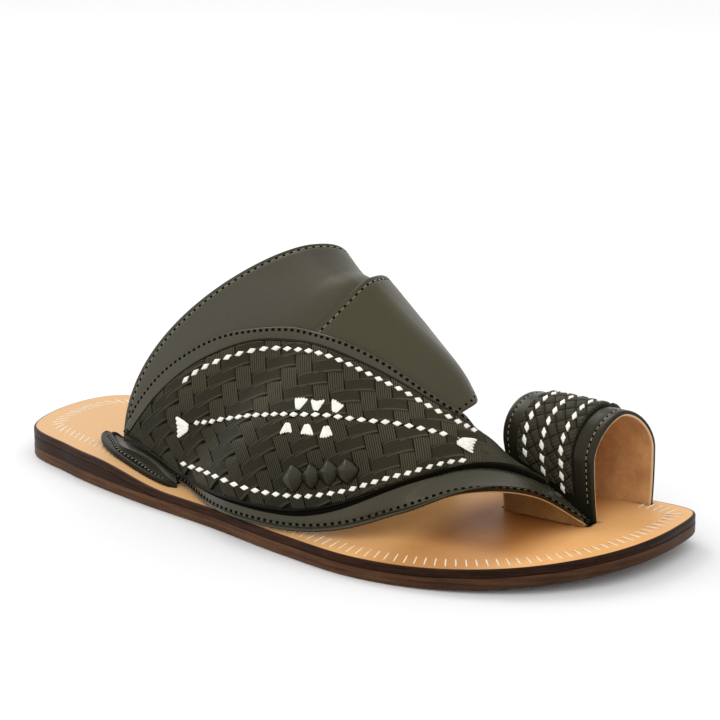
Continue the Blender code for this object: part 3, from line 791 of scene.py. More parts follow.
class Recipe:
    """A material's node tree, written with wires."""

    def __init__(self, name: str) -> None:
        """Starts a material with one Principled shader.

        Args:
            name: Name of the material.
        """
        self.made = bpy.data.materials.new(name)
        self.made.use_nodes = True
        self.tree = self.made.node_tree
        self.shader = self.tree.nodes["Principled BSDF"]

    def node(self, kind: str, settings: dict, inputs: dict, output: int | str = 0) -> Wire:
        """Adds a node.

        Args:
            kind: The node's type.
            settings: Its own settings, set first.
            inputs: Values or wires of its sockets, by name or number.
            output: Which output is wanted.

        Returns:
            The output as a wire.
        """
        node = self.tree.nodes.new(kind)
        for name, value in settings.items():
            setattr(node, name, value)
        for name, value in inputs.items():
            self.feed(node.inputs[name], value)
        return Wire(self, node.outputs[output])

    def feed(self, socket: bpy.types.NodeSocket, value: object) -> None:
        """Gives a socket a wire or a plain value.

        Args:
            socket: The input.
            value: Wire, number or colour.
        """
        if isinstance(value, Wire):
            self.tree.links.new(value.socket, socket)
        elif isinstance(value, tuple) and len(value) == 3 and socket.type == "RGBA":
            socket.default_value = (*value, 1.0)
        else:
            socket.default_value = value

    def place(self, stretch: tuple = (1.0, 1.0, 1.0)) -> Wire:
        """The point on the object, stretched along its axes."""
        here = self.node("ShaderNodeTexCoord", {}, {}, output="Object")
        return self.node("ShaderNodeVectorMath", {"operation": "MULTIPLY"}, {0: here, 1: stretch})

    def noise(self, where: Wire, scale: float, detail: float = 3.0, rough: float = 0.55) -> Wire:
        """Fractal noise from 0 to 1, round 0.5."""
        inputs = {"Vector": where, "Scale": scale, "Detail": detail, "Roughness": rough}
        return self.node("ShaderNodeTexNoise", {}, inputs)

    def cells(self, where: Wire, scale: float) -> Wire:
        """Distance to the nearest cell of a Voronoi pattern."""
        return self.node("ShaderNodeTexVoronoi", {}, {"Vector": where, "Scale": scale}, output="Distance")

    def mark(self, name: str) -> Wire:
        """A number that the mesh carries."""
        return self.node("ShaderNodeAttribute", {"attribute_name": name}, {}, output="Fac")

    def height(self, axis: str = "Z") -> Wire:
        """The point's distance from the origin along an axis, in metres."""
        here = self.node("ShaderNodeTexCoord", {}, {}, output="Object")
        return self.node("ShaderNodeSeparateXYZ", {}, {0: here}, output=axis)

    def relief(self, height: Wire, depth: float, strength: float = 1.0) -> None:
        """Bumps the surface by a height of 0 to 1 times a depth in metres.

        Args:
            height: From 0 to 1.
            depth: In metres.
            strength: Share of the bump.
        """
        inputs = {"Height": height, "Distance": depth, "Strength": strength}
        bump = self.node("ShaderNodeBump", {}, inputs)
        self.tree.links.new(bump.socket, self.shader.inputs["Normal"])

    def finish(self, color: object, roughness: object, **fixed: float) -> bpy.types.Material:
        """Sets the shader's colour, roughness and fixed values and returns the material.

        Args:
            color: Wire or colour.
            roughness: Wire or number.
            fixed: Constants of other inputs, by name.

        Returns:
            The material.
        """
        self.feed(self.shader.inputs["Base Color"], color)
        self.feed(self.shader.inputs["Roughness"], roughness)
        for name, value in fixed.items():
            self.shader.inputs[name.replace("_", " ")].default_value = value
        return self.made


BROWN_SHINE = (1.0, 0.75, 0.55, 1.0)
WARM_SHINE = (0.95, 0.88, 0.62, 1.0)
_MADE: dict["Finish", bpy.types.Material] = {}


@dataclass(frozen=True)
class Finish:
    """A surface finish, made once and shared."""

    name: str

    def material(self) -> bpy.types.Material:
        """The material, built the first time it is asked for.

        Returns:
            The material.
        """
        if self not in _MADE:
            _MADE[self] = self.mix()
        return _MADE[self]

    def mix(self) -> bpy.types.Material:
        """Builds the material."""
        raise NotImplementedError


@dataclass(frozen=True)
class SmoothLeather(Finish):
    """Dyed smooth leather: fine pores, slow mottling, dark rims and a soft gloss; the rim mark gives
    burnished dark edges, and painted shade on the beads and in the vamp's furrow.
    """

    base: tuple
    warm: tuple
    rim: tuple = (0.008, 0.0072, 0.0048)
    gloss: float = 0.40
    shine: float = 0.28
    # Painted light and shade: a lighter, greyer tone towards the heel and a darker tone on the crown.
    rear: tuple = ()
    crown: tuple = ()

    def mix(self) -> bpy.types.Material:
        """Two tones in slow clouds, dark rims, pores from fine cells, and, where rear and crown tones are
        given, painted light and shade: lighter and greyer towards the heel, darker on the crown.

        Returns:
            The material.
        """
        r = Recipe(self.name)
        spot = r.place()
        clouds = r.noise(spot, 28.0, 4.0).step(0.32, 0.68)
        fine = r.noise(spot, 900.0, 2.0)
        tone = clouds.blend(self.base, self.warm)
        # Painted light towards the heel, painted shade on the crown above 84 mm.
        if self.rear:
            tone = r.height("X").step(-0.015, 0.02).blend(self.rear, tone)
            tone = r.height("Z").step(0.084, 0.1).blend(tone, self.crown)
        tone = tone * (0.86 + 0.28 * fine)
        color = r.mark("rim").blend(tone, self.rim)
        scuff = r.noise(r.place((1.0, 2.6, 1.0)), 110.0, 6.0, 0.7)
        rough = self.gloss + (scuff - 0.5) * 0.22 + (fine - 0.5) * 0.1
        pores = r.cells(spot, 1500.0)
        creases = r.noise(spot, 420.0, 5.0, 0.6)
        r.relief(pores * 0.5 + creases * 0.9, 0.00009, 0.55)
        return r.finish(color, rough, Specular_IOR_Level=self.shine, Specular_Tint=WARM_SHINE)


@dataclass(frozen=True)
class StripLeather(Finish):
    """Leather strips of the weave: ribbed ones lighter, smooth crossing ones darker, with painted light and
    shade: lighter on top, near black in the recesses, darker low on the panel and lighter towards the toes.
    """

    ribbed: tuple = (0.062, 0.057, 0.037)
    crossing: tuple = (0.0165, 0.0148, 0.0085)
    # Colour of the painted shade in the recesses between strips.
    depth: tuple = (0.003, 0.0026, 0.0016)
    # Lightness left low on the panel as painted shade, and extra painted light towards the toe end.
    painted_low_shade_level: float = 0.60
    painted_toe_light_gain: float = 0.38

    def mix(self) -> bpy.types.Material:
        """Colour by strip and by height over the base, with painted shade in the recesses and low on the
        panel, painted light towards the toes, and a fine fibre grain.

        Returns:
            The material.
        """
        r = Recipe(self.name)
        spot = r.place()
        fine = r.noise(spot, 1100.0, 3.0)
        slow = r.noise(spot, 60.0, 3.0)
        tone = r.mark("strip").blend(self.crossing, self.ribbed)
        # Painted shade low on the panel and painted light towards its toe end; the shade mark gives near
        # black in the recesses.
        light = self.painted_low_shade_level + (1.0 - self.painted_low_shade_level) * r.height().step(0.028, 0.052)
        light = light + self.painted_toe_light_gain * r.height("X").step(0.03, 0.07)
        color = r.mark("deep").blend(tone, self.depth) * (0.72 + 0.3 * fine + 0.26 * slow) * light
        rough = 0.47 + (slow - 0.5) * 0.2
        r.relief(fine + r.cells(spot, 1700.0) * 0.5, 0.00009, 0.6)
        return r.finish(color, rough, Specular_IOR_Level=0.12, Specular_Tint=WARM_SHINE)


@dataclass(frozen=True)
class Thread(Finish):
    """Twisted thread, its plies as fine slanting cells."""

    tint: tuple
    shade: tuple
    ply: float = 2600.0
    matt: float = 0.55

    def mix(self) -> bpy.types.Material:
        """Tint and shade in fine fibres, rounded by a bump.

        Returns:
            The material.
        """
        r = Recipe(self.name)
        fibres = r.noise(r.place((1.0, 0.35, 1.6)), self.ply, 3.0, 0.6)
        slow = r.noise(r.place(), 300.0, 2.0)
        color = (fibres * 0.7 + slow * 0.3).step(0.3, 0.6).blend(self.shade, self.tint)
        r.relief(fibres, 0.00012, 0.7)
        return r.finish(color, self.matt)


@dataclass(frozen=True)
class Plain(Finish):
    """Near black painted shade standing for a hole or gap."""

    tint: tuple = (0.003, 0.0026, 0.0018)

    def mix(self) -> bpy.types.Material:
        """A near black matt surface with a trace of dust.

        Returns:
            The material.
        """
        r = Recipe(self.name)
        dust = r.noise(r.place(), 1500.0, 2.0)
        return r.finish(dust.blend(self.tint, tuple(2 * c for c in self.tint)), 0.8, Specular_IOR_Level=0.0)


@dataclass(frozen=True)
class Insole(Finish):
    """Vegetable tanned leather on top, burnished dark edge in layers at the side."""

    tan: tuple = (0.70, 0.385, 0.155)
    amber: tuple = (0.625, 0.325, 0.117)
    # Colour of the painted shadow of the vamp on the insole.
    darkened: tuple = (0.28, 0.108, 0.026)
    pale: tuple = (0.545, 0.325, 0.150)
    edge: tuple = (0.0105, 0.0034, 0.0020)
    edge_light: tuple = (0.046, 0.0160, 0.0080)

    def mix(self) -> bpy.types.Material:
        """Slow clouds of tan, a painted shadow of the vamp, fine pores and hair lines, and the edge's layers
        by height.

        Returns:
            The material.
        """
        r = Recipe(self.name)
        spot = r.place()
        clouds = r.noise(spot, 16.0, 5.0).step(0.3, 0.7)
        mottle = r.noise(spot, 170.0, 4.0)
        fine = r.noise(spot, 1200.0, 3.0)
        fibres = r.noise(r.place((0.2, 1.0, 1.0)), 700.0, 3.0)
        forward = r.height("X").step(-0.09, 0.03)
        # Painted shadow of the vamp: about 196 to 258 mm along the shoe, weaker towards the lateral edge.
        darkened = r.height("X").step(0.054, 0.072) - r.height("X").step(0.092, 0.116)
        darkened = darkened * (0.55 + 0.45 * r.height("Y").step(-0.033, -0.015))
        tan = forward.blend(self.pale, clouds.blend(self.tan, self.amber))
        top = darkened.blend(tan, self.darkened) * (0.9 + 0.1 * mottle + 0.1 * fine)
        layers = r.noise(r.place((1.0, 1.0, 26.0)), 60.0, 5.0, 0.7)
        side = (layers + fibres * 0.3).step(0.5, 0.9).blend(self.edge, self.edge_light)
        side = side * (1.0 - 0.4 * r.height("X").step(0.02, 0.1))
        color = r.mark("side").blend(top, side)
        rough = 0.44 + (mottle - 0.5) * 0.16 + (fine - 0.5) * 0.1
        r.relief(fine * 0.6 + r.cells(spot, 900.0) * 0.5 + mottle * 0.8, 0.0001, 0.5)
        return r.finish(color, rough, Specular_IOR_Level=0.12, Specular_Tint=BROWN_SHINE)


@dataclass(frozen=True)
class EdgeLeather(Finish):
    """Cut and burnished leather edge of a sole layer, with long dark and light streaks."""

    dark: tuple = (0.0105, 0.0035, 0.0021)
    light: tuple = (0.031, 0.0110, 0.0058)
    streak: float = 34.0

    def mix(self) -> bpy.types.Material:
        """Streaks that follow the layer, scratches, and a satin polish.

        Returns:
            The material.
        """
        r = Recipe(self.name)
        layers = r.noise(r.place((1.0, 1.0, 30.0)), self.streak, 6.0, 0.72)
        spot = r.place()
        grain = r.noise(spot, 800.0, 3.0)
        patches = r.noise(r.place((1.0, 1.0, 5.0)), 70.0, 4.0)
        tone = (layers * 0.7 + patches * 0.3).step(0.34, 0.66).blend(self.dark, self.light)
        r.relief(layers * 0.8 + grain * 0.5, 0.00016, 0.6)
        color = tone * (0.75 + 0.5 * grain) * (1.0 - 0.35 * r.height("X").step(0.02, 0.1))
        brushed = r.noise(r.place((1.0, 1.0, 0.1)), 260.0, 3.0).step(0.5, 0.72)
        color = color * (1.0 + 0.9 * brushed * (1.0 - r.height("X").step(-0.13, -0.105)))
        rough = 0.42 + (patches - 0.5) * 0.3
        return r.finish(color, rough, Specular_IOR_Level=0.1, Specular_Tint=BROWN_SHINE)


@dataclass(frozen=True)
class Suede(Finish):
    """Unfinished leather lining: soft nap, warm mottling, a paler cut edge."""

    light: tuple = (0.60, 0.33, 0.140)
    dark: tuple = (0.38, 0.190, 0.070)
    cut: tuple = (0.60, 0.42, 0.26)

    def mix(self) -> bpy.types.Material:
        """Clouds at three sizes and a nap that breaks the surface.

        Returns:
            The material.
        """
        r = Recipe(self.name)
        spot = r.place()
        clouds = r.noise(spot, 60.0, 6.0, 0.65)
        nap = r.noise(spot, 1400.0, 4.0, 0.7)
        tone = (clouds * 0.75 + nap * 0.25).step(0.34, 0.66).blend(self.dark, self.light)
        color = r.mark("rim").blend(tone, self.cut)
        creases = r.noise(r.place((1.0, 1.0, 3.0)), 130.0, 6.0, 0.75)
        r.relief(nap * 0.5 + clouds * 0.5 + creases, 0.0005, 0.6)
        rough = 0.82 + (nap - 0.5) * 0.15
        return r.finish(color, rough, Sheen_Weight=0.08, Specular_IOR_Level=0.2, Specular_Tint=BROWN_SHINE)


@dataclass(frozen=True)
class Backdrop(Finish):
    """The studio's white floor."""

    def mix(self) -> bpy.types.Material:
        """Almost even white, matt, with a faint grain.

        Returns:
            The material.
        """
        r = Recipe(self.name)
        grain = r.noise(r.place(), 3.0, 2.0)
        return r.finish(grain.blend((0.70, 0.70, 0.70), (0.71, 0.71, 0.71)), 0.9)


# Its rear tone is painted light towards the heel, its crown tone painted shade on the bands' crown.
OLIVE = SmoothLeather(
    "olive leather", (0.037, 0.0345, 0.0215), (0.040, 0.0355, 0.019),
    rear=(0.043, 0.0405, 0.031), crown=(0.016, 0.0142, 0.0074),
)
LEAF_LEATHER = SmoothLeather(
    "leaf leather", (0.025, 0.0245, 0.0185), (0.027, 0.0250, 0.0170), gloss=0.26, shine=0.48
)
# Its rim colour is the painted shade of the beads.
BEAD_LEATHER = SmoothLeather(
    "bead leather", (0.0170, 0.0160, 0.0112), (0.018, 0.0168, 0.0108), (0.0014, 0.0012, 0.0008), 0.27, 0.32
)
# Darker than the vamp's leather: its dark tone stands partly for painted shade on the tab's low outer face.
TAB_LEATHER = SmoothLeather(
    "tab leather", (0.0125, 0.012, 0.0078), (0.0145, 0.0135, 0.0075), gloss=0.38, shine=0.12
)
DARK_OLIVE = SmoothLeather(
    "polished dark olive leather", (0.010, 0.0095, 0.0065), (0.013, 0.012, 0.0068), gloss=0.3, shine=0.22
)
WEAVE = StripLeather("woven strips")
RING_WEAVE = StripLeather("ring strips", painted_low_shade_level=1.0, painted_toe_light_gain=0.0)
LACE = Thread("white lace", (0.86, 0.84, 0.77), (0.58, 0.55, 0.47))
INSOLE_THREAD = Thread("worn insole thread", (0.80, 0.71, 0.56), (0.50, 0.38, 0.25))
SEAM = Thread("olive seam thread", (0.075, 0.070, 0.045), (0.035, 0.033, 0.022), 2400.0, 0.6)
PALE_SEAM = Thread("pale seam thread", (0.27, 0.255, 0.18), (0.11, 0.10, 0.07), 2400.0, 0.6)
HOLES = Plain("needle holes")
TAN = Insole("tan insole leather")
WEDGE = EdgeLeather("wedge leather")
OUTSOLE = EdgeLeather("outsole leather", (0.041, 0.018, 0.0088), (0.112, 0.053, 0.028), 26.0)
LINING = Suede("tan lining")
TAIL_LINING = Suede("dark tan lining", (0.34, 0.160, 0.048), (0.20, 0.088, 0.024), (0.42, 0.26, 0.13))
BAND_LINING = Suede("brown lining", (0.16, 0.085, 0.040), (0.075, 0.038, 0.018), (0.05, 0.035, 0.02))


def dress(piece: bpy.types.Object, slot: str, *nodes: str) -> None:
    """Hands a piece to the frame: it rides on the body and stands for CAD nodes.

    Args:
        piece: The piece.
        slot: Its material slot, not used.
        nodes: The CAD nodes it stands for.
    """
    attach(piece, BODY)
    if nodes:
        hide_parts(*nodes)
    log.info("%s: %d faces", piece.name, len(piece.data.polygons))


def wall_piece(
    name: str, sides: Sequence, finish: Finish, slot: str, *nodes: str, sharp: float = 40.0, **marks: tuple
) -> None:
    """A closed wall between two grids, built and handed to the frame.

    Args:
        name: Name of the piece.
        sides: Its inner and its outer grid.
        finish: Its finish.
        slot: Its material slot.
        nodes: The CAD nodes it stands for.
        sharp: Angle in degrees past which an edge stays sharp.
        marks: For each name the numbers on the inner and on the outer side.
    """
    shape = Shape()
    shape.shell(*sides, **marks)
    dress(shape.build(name, finish, sharp), slot, *nodes)


def seam(
    name: str, lines: Sequence[Line], pitch: float, gap: float, finish: Finish = SEAM, hole: float = 1.0
) -> None:
    """A machine seam along lines: needle holes as near black painted shade, with a thread between them.

    Args:
        name: Name of the pieces.
        lines: The lines it follows.
        pitch: Length of a stitch.
        gap: Length left free at both ends of each line.
        finish: The thread's finish, a dark olive one unless another is given.
        hole: Size of the holes against the ordinary ones.
    """
    threads, holes = Shape(), Shape()
    for line in lines:
        at = line.frames(pitch, gap, gap)
        holes.stamp(HOLE, at.moved(normal=0.1), (1.4 * hole, 1.1 * hole, 1.0))
        threads.stamp(STITCH, at.moved(along=pitch / 2, normal=0.04), (pitch * 0.62, 0.36, 0.34))
    dress(holes.build(f"{name}_holes", HOLES), "leather")
    dress(threads.build(f"{name}_thread", finish), "leather")


# ---------------------------------------------------------------- the sole


def closed_outline(count: int) -> np.ndarray:
    """The sole's outline as a closed smooth curve through its table, from the heel's back.

    Args:
        count: How many points.

    Returns:
        One point a row, in plan.
    """
    ring = np.array(SOLE_OUTLINE + SOLE_OUTLINE + SOLE_OUTLINE[:1])
    knots = np.concatenate([[0.0], np.cumsum(np.hypot(*np.diff(ring, axis=0).T))])
    turn = knots[len(SOLE_OUTLINE)]
    half = len(SOLE_OUTLINE) // 2
    return smooth(knots, ring, knots[half] + np.arange(count) * turn / count)


def outline_inward(edge: np.ndarray) -> np.ndarray:
    """Unit normals of a closed outline that point to its inside.

    Args:
        edge: Points of the outline, in order.

    Returns:
        One unit vector a row, in plan.
    """
    along = np.roll(edge, -1, axis=0) - np.roll(edge, 1, axis=0)
    along /= np.hypot(*along.T)[:, None]
    inward = np.column_stack([-along[:, 1], along[:, 0]])
    return inward if np.sum(inward * (edge.mean(axis=0) - edge)) > 0 else -inward


@dataclass
class Sole:
    """Outsole, wedge and insole as stacked leather layers with burnished edges."""

    around: int = 430
    rings: int = 16
    spine_from: float = 34.0
    spine_to: float = 236.0
    top_round: float = 0.9
    stitch_inset: float = 7.2
    heel_inset: float = 3.2
    stitch_pitch: float = 3.7
    stitch_length: float = 7.4
    lateral_slot_to: float = 1.65
    toe_slot_from: float = 5.15

    def layer(
        self,
        name: str,
        finish: Finish,
        bottom: Callable,
        top: Callable,
        insets: tuple[float, float, float],
        nose: float = LENGTH,
    ) -> bpy.types.Object:
        """One layer: rings of the outline shrink to its spine on both faces, with rounded rims.

        Args:
            name: Name of the piece.
            finish: Its finish.
            bottom: Height of its underside by X.
            top: Height of its upper side by X.
            insets: Inset of its side, and its rounding below and above.
            nose: X at which the layer is cut off.

        Returns:
            The piece.
        """
        edge = closed_outline(self.around)
        inward = outline_inward(edge)
        inset, low_round, high_round = insets
        spine_x = np.clip(edge[:, 0], self.spine_from, min(self.spine_to, nose - 20.0))
        spine = np.column_stack([spine_x, 1.5 + 3.0 * ease((spine_x - 120.0) / 120.0)])
        quarter = np.linspace(0.0, math.pi / 2, 5)
        shrink = np.linspace(0.0, 1.0, self.rings)
        levels = []
        for face, sign, rounding in ((bottom, 1.0, low_round), (top, -1.0, high_round)):
            side = [(inset + rounding * (1 - math.sin(a)), rounding * (1 - math.cos(a))) for a in quarter]
            corner = edge + inward * side[0][0]
            inner = [corner + (spine - corner) * s for s in shrink[::-1]]
            flat = [(plan, face, 0.0, 0.0) for plan in inner[:-2]]
            flat += [(corner + inward * away, face, 0.0, 0.0) for away in (1.6, 0.7, 0.28)]
            rim = [(edge + inward * away, face, sign * drop, 1.0) for away, drop in side]
            levels += flat + rim if face is bottom else (flat + rim)[::-1]
        points, marks = [], []
        beside = np.abs(edge[np.abs(edge[:, 0] - nose) < 3.0, 1])
        for plan, face, drop, mark in levels:
            x, y = np.minimum(plan[:, 0], nose), plan[:, 1]
            if nose < LENGTH:
                y = np.where(plan[:, 0] > nose, np.clip(y, 0.5 - beside.max(), beside.min() - 0.5), y)
            points.append(np.column_stack([x, y, face(x) + drop]))
            marks.append(np.full(len(plan), mark))
        shape = Shape()
        shape.add(np.vstack(points), loop_faces(len(points), self.around), side=np.concatenate(marks))
        return shape.build(name, finish, 55.0)

    def cut(self, insole: bpy.types.Object) -> None:
        """Cuts the strap slots out of the insole with exact booleans and keeps the result.

        Args:
            insole: The insole before it is cut.
        """
        rear = np.linspace(0.0, self.lateral_slot_to, 12)
        front = np.linspace(0.0, FRONT_BAND[-1][0] - FRONT_BAND[-1][2], 16)
        tail = np.linspace(self.toe_slot_from, 8.0, 14)
        across = np.linspace(0.0, 1.0, len(tail))
        inner, outer = -SLOT_PLAY, 2 * LEATHER + SLOT_PLAY
        foot = lambda places, angle, lift, feet: on_last(places, np.full(len(places), angle), lift, feet)
        leg = lambda turn, lift: on_ring(across, np.full(len(across), turn), lift)
        pairs = {
            "lateral": (foot(rear, 0.0, inner, Feet.TOES), foot(rear, 0.0, outer, Feet.TOES)),
            "medial": (foot(front, math.pi, inner, Feet.INSTEP), foot(front, math.pi, outer, Feet.INSTEP)),
            "toes": (foot(tail, math.pi, inner, Feet.TOES), leg(0.0, -RING_THICK - SLOT_PLAY)),
            "big_toe": (leg(1.0, -RING_THICK - SLOT_PLAY), leg(1.0, SLOT_PLAY)),
        }
        pairs["toes"][1][0, 0] = pairs["toes"][0][0, 0]
        cutters = []
        for name, pair in pairs.items():
            walls = []
            for line in pair:
                ends = line[[0, -1], :2] - line[[1, -2], :2]
                line[[0, -1], :2] += ends / np.linalg.norm(ends, axis=1)[:, None] * 2 * SLOT_PLAY
                low, high = line.copy(), line.copy()
                low[:, 2], high[:, 2] = insole_top(line[:, 0]) - 6.0, insole_top(line[:, 0]) + 3.0
                walls.append(np.stack([low, high], axis=1))
            shape = Shape()
            shape.shell(*walls, side=(1.0, 1.0))
            cutter = shape.build(f"slot_{name}", TAN)
            step = insole.modifiers.new(name, "BOOLEAN")
            step.operation, step.solver, step.object = "DIFFERENCE", "EXACT", cutter
            cutters.append(cutter)
        evaluated = insole.evaluated_get(bpy.context.evaluated_depsgraph_get())
        whole = bpy.data.meshes.new_from_object(evaluated)
        insole.modifiers.clear()
        insole.data = whole
        for cutter in cutters:
            bpy.data.objects.remove(cutter, do_unlink=True)

    def stitches(self) -> None:
        """White edge stitches: straight threads that stand across the rim, a little slanted."""
        edge = closed_outline(720)
        inward = outline_inward(edge)
        inset = self.stitch_inset + self.heel_inset * (1.0 - ease((edge[:, 0] - 45.0) / 45.0))
        plan = edge + inward * inset[:, None]
        points = np.column_stack([plan, insole_top(plan[:, 0])])
        line = Line(np.vstack([points, points[:1]]), np.tile([0.0, 0.0, 1.0], (len(points) + 1, 1)))
        at = line.frames(self.stitch_pitch)
        toe = (at.origin[:, 0] > 150.0) | (at.origin[:, 0] < 62.0)
        toe &= (at.origin[:, 1] < 15.0) | (at.origin[:, 0] < 208.0) | (at.origin[:, 0] > 258.0)
        at = Frames(at.origin[toe], at.along[toe], at.across[toe], at.normal[toe])
        shape = Shape()
        slant = np.where(at.origin[:, 0] < 80.0, 128.0, 99.0)
        shape.stamp(thread_form(0.03), at.turned(np.radians(slant)), (self.stitch_length, 0.6, 0.5))
        dress(shape.build("insole_stitches", INSOLE_THREAD), "insole")

    def build(self) -> None:
        """Makes the three layers and the edge stitching."""
        lower = lambda x: insole_top(x) - INSOLE_THICK - 0.85 * LAYER_GAP
        outsole = self.layer("outsole_leather", OUTSOLE, toe_lift, outsole_top, (0.0, 0.7, 0.3))
        dress(outsole, "outsole", "outsole")
        wedge_top = lambda x: np.maximum(lower(x) - 0.02, outsole_top(x) + 0.02)
        above = lambda x: outsole_top(x) - 0.05
        wedge = self.layer("heel_wedge_leather", WEDGE, above, wedge_top, (0.12, 0.3, 0.05), WAIST)
        dress(wedge, "wedge", "heel_wedge")
        insole = self.layer("insole_leather", TAN, lower, insole_top, (0.1, 0.4, self.top_round))
        self.cut(insole)
        dress(insole, "insole", "insole")
        self.stitches()


# ---------------------------------------------------------------- the upper


@dataclass
class Band:
    """One instep band: a leather wall with rounded rims, a stitched rear edge and a lining."""

    name: str
    table: tuple
    low: float
    high: float
    stitch_inset: float = 2.3
    pitch: float = 3.05
    groove: float = 0.22
    bulge: tuple = (0.0, 0.0)
    sag: float = 0.0
    flare: float = 0.0
    rows: int = 64
    columns: int = 156
    rim: float = 0.75
    edge_steps: tuple = (0.0, 0.08, 0.2, 0.4, 0.7, 1.1, 1.6, 2.0, 2.3, 2.6, 2.9, 3.2, 3.8, 4.6)

    def grid(self) -> tuple[np.ndarray, np.ndarray]:
        """Places and angles of the band's grid, finer near its two long edges.

        Returns:
            Grids of places and of angles.
        """
        rows = np.array(self.table)
        run = rows[-1, 0] - rows[0, 0]
        share = shares(np.array([run * PLACE_LENGTH]), self.edge_steps, self.rows)[0]
        places = rows[0, 0] + run * share
        starts = np.radians(np.interp(places, rows[:, 0], rows[:, 1]))
        back = np.interp(places, rows[:, 0], rows[:, 2])[:, None]
        angle = starts[:, None] + (math.pi - starts[:, None]) * np.linspace(0.0, 1.0, self.columns)
        past_crown = ease((np.degrees(angle) - STEP_BACK_FROM) / STEP_BACK_TURN)
        flare = self.flare * share[:, None] ** 3 * self.near_crown(angle)
        return places[:, None] - back * past_crown + flare, angle

    def near_crown(self, angle: np.ndarray) -> np.ndarray:
        """1 round the crown, eased out to 0 down both sides."""
        turn = np.degrees(angle)
        return ease((turn - 64.0) / 20.0) * (1.0 - ease((turn - 112.0) / 45.0))

    def swell(self, place: np.ndarray, angle: np.ndarray) -> np.ndarray:
        """Lift of the crown over the last: a bulge that grows forward, less a sag before the next band."""
        bulge = self.bulge[0] + (self.bulge[1] - self.bulge[0]) * ease((place - 2.0) / 1.2)
        return self.near_crown(angle) * (bulge - self.sag * crease(place, 2.0, 0.55))

    def line(self, place: np.ndarray, angle: np.ndarray, reach: np.ndarray) -> Line:
        """The seam's line, at the stitch inset down the grid's columns."""
        at, turn = traced(place.T, angle.T, reach.T, self.stitch_inset)
        return line_on_last(at, turn, self.high + self.swell(at, turn) - self.groove, Feet.INSTEP)

    def build(self) -> None:
        """Makes the wall, its lining and its seams."""
        place, angle = self.grid()
        from_rear = reach_along(on_last(place, angle, self.high, Feet.INSTEP), 0)
        to_front = from_rear[-1:] - from_rear
        near = np.minimum(from_rear, to_front)
        lines = [self.line(place, angle, from_rear)]
        groove = self.groove * crease(from_rear, self.stitch_inset, 0.75)
        if self.bulge[1]:
            lines.append(self.line(place[::-1], angle[::-1], to_front[::-1]))
            groove = groove + self.groove * crease(to_front, self.stitch_inset, 0.75)
        swell = self.swell(place, angle)
        outer = on_last(place, angle, self.high + swell - closing(near, self.rim) - groove, Feet.INSTEP)
        inner = on_last(place, angle, self.low + swell + closing(near, 0.35), Feet.INSTEP)
        for grid in (outer, inner):
            seat(grid, -1)
        rim = (1.0, ease(1.0 - near / 0.9))
        wall_piece(self.name, (inner, outer), OLIVE, "leather", "upper", rim=rim)
        part = (slice(5, -5), slice(2, None, 2))
        level = self.low + swell[part]
        sides = [on_last(place[part], angle[part], level + lift, Feet.INSTEP) for lift in (-0.45, 0.12)]
        wall_piece(f"{self.name}_lining", sides, BAND_LINING, "leather")
        seam(f"{self.name}_seam", lines, self.pitch, 3.0, PALE_SEAM, 0.8)


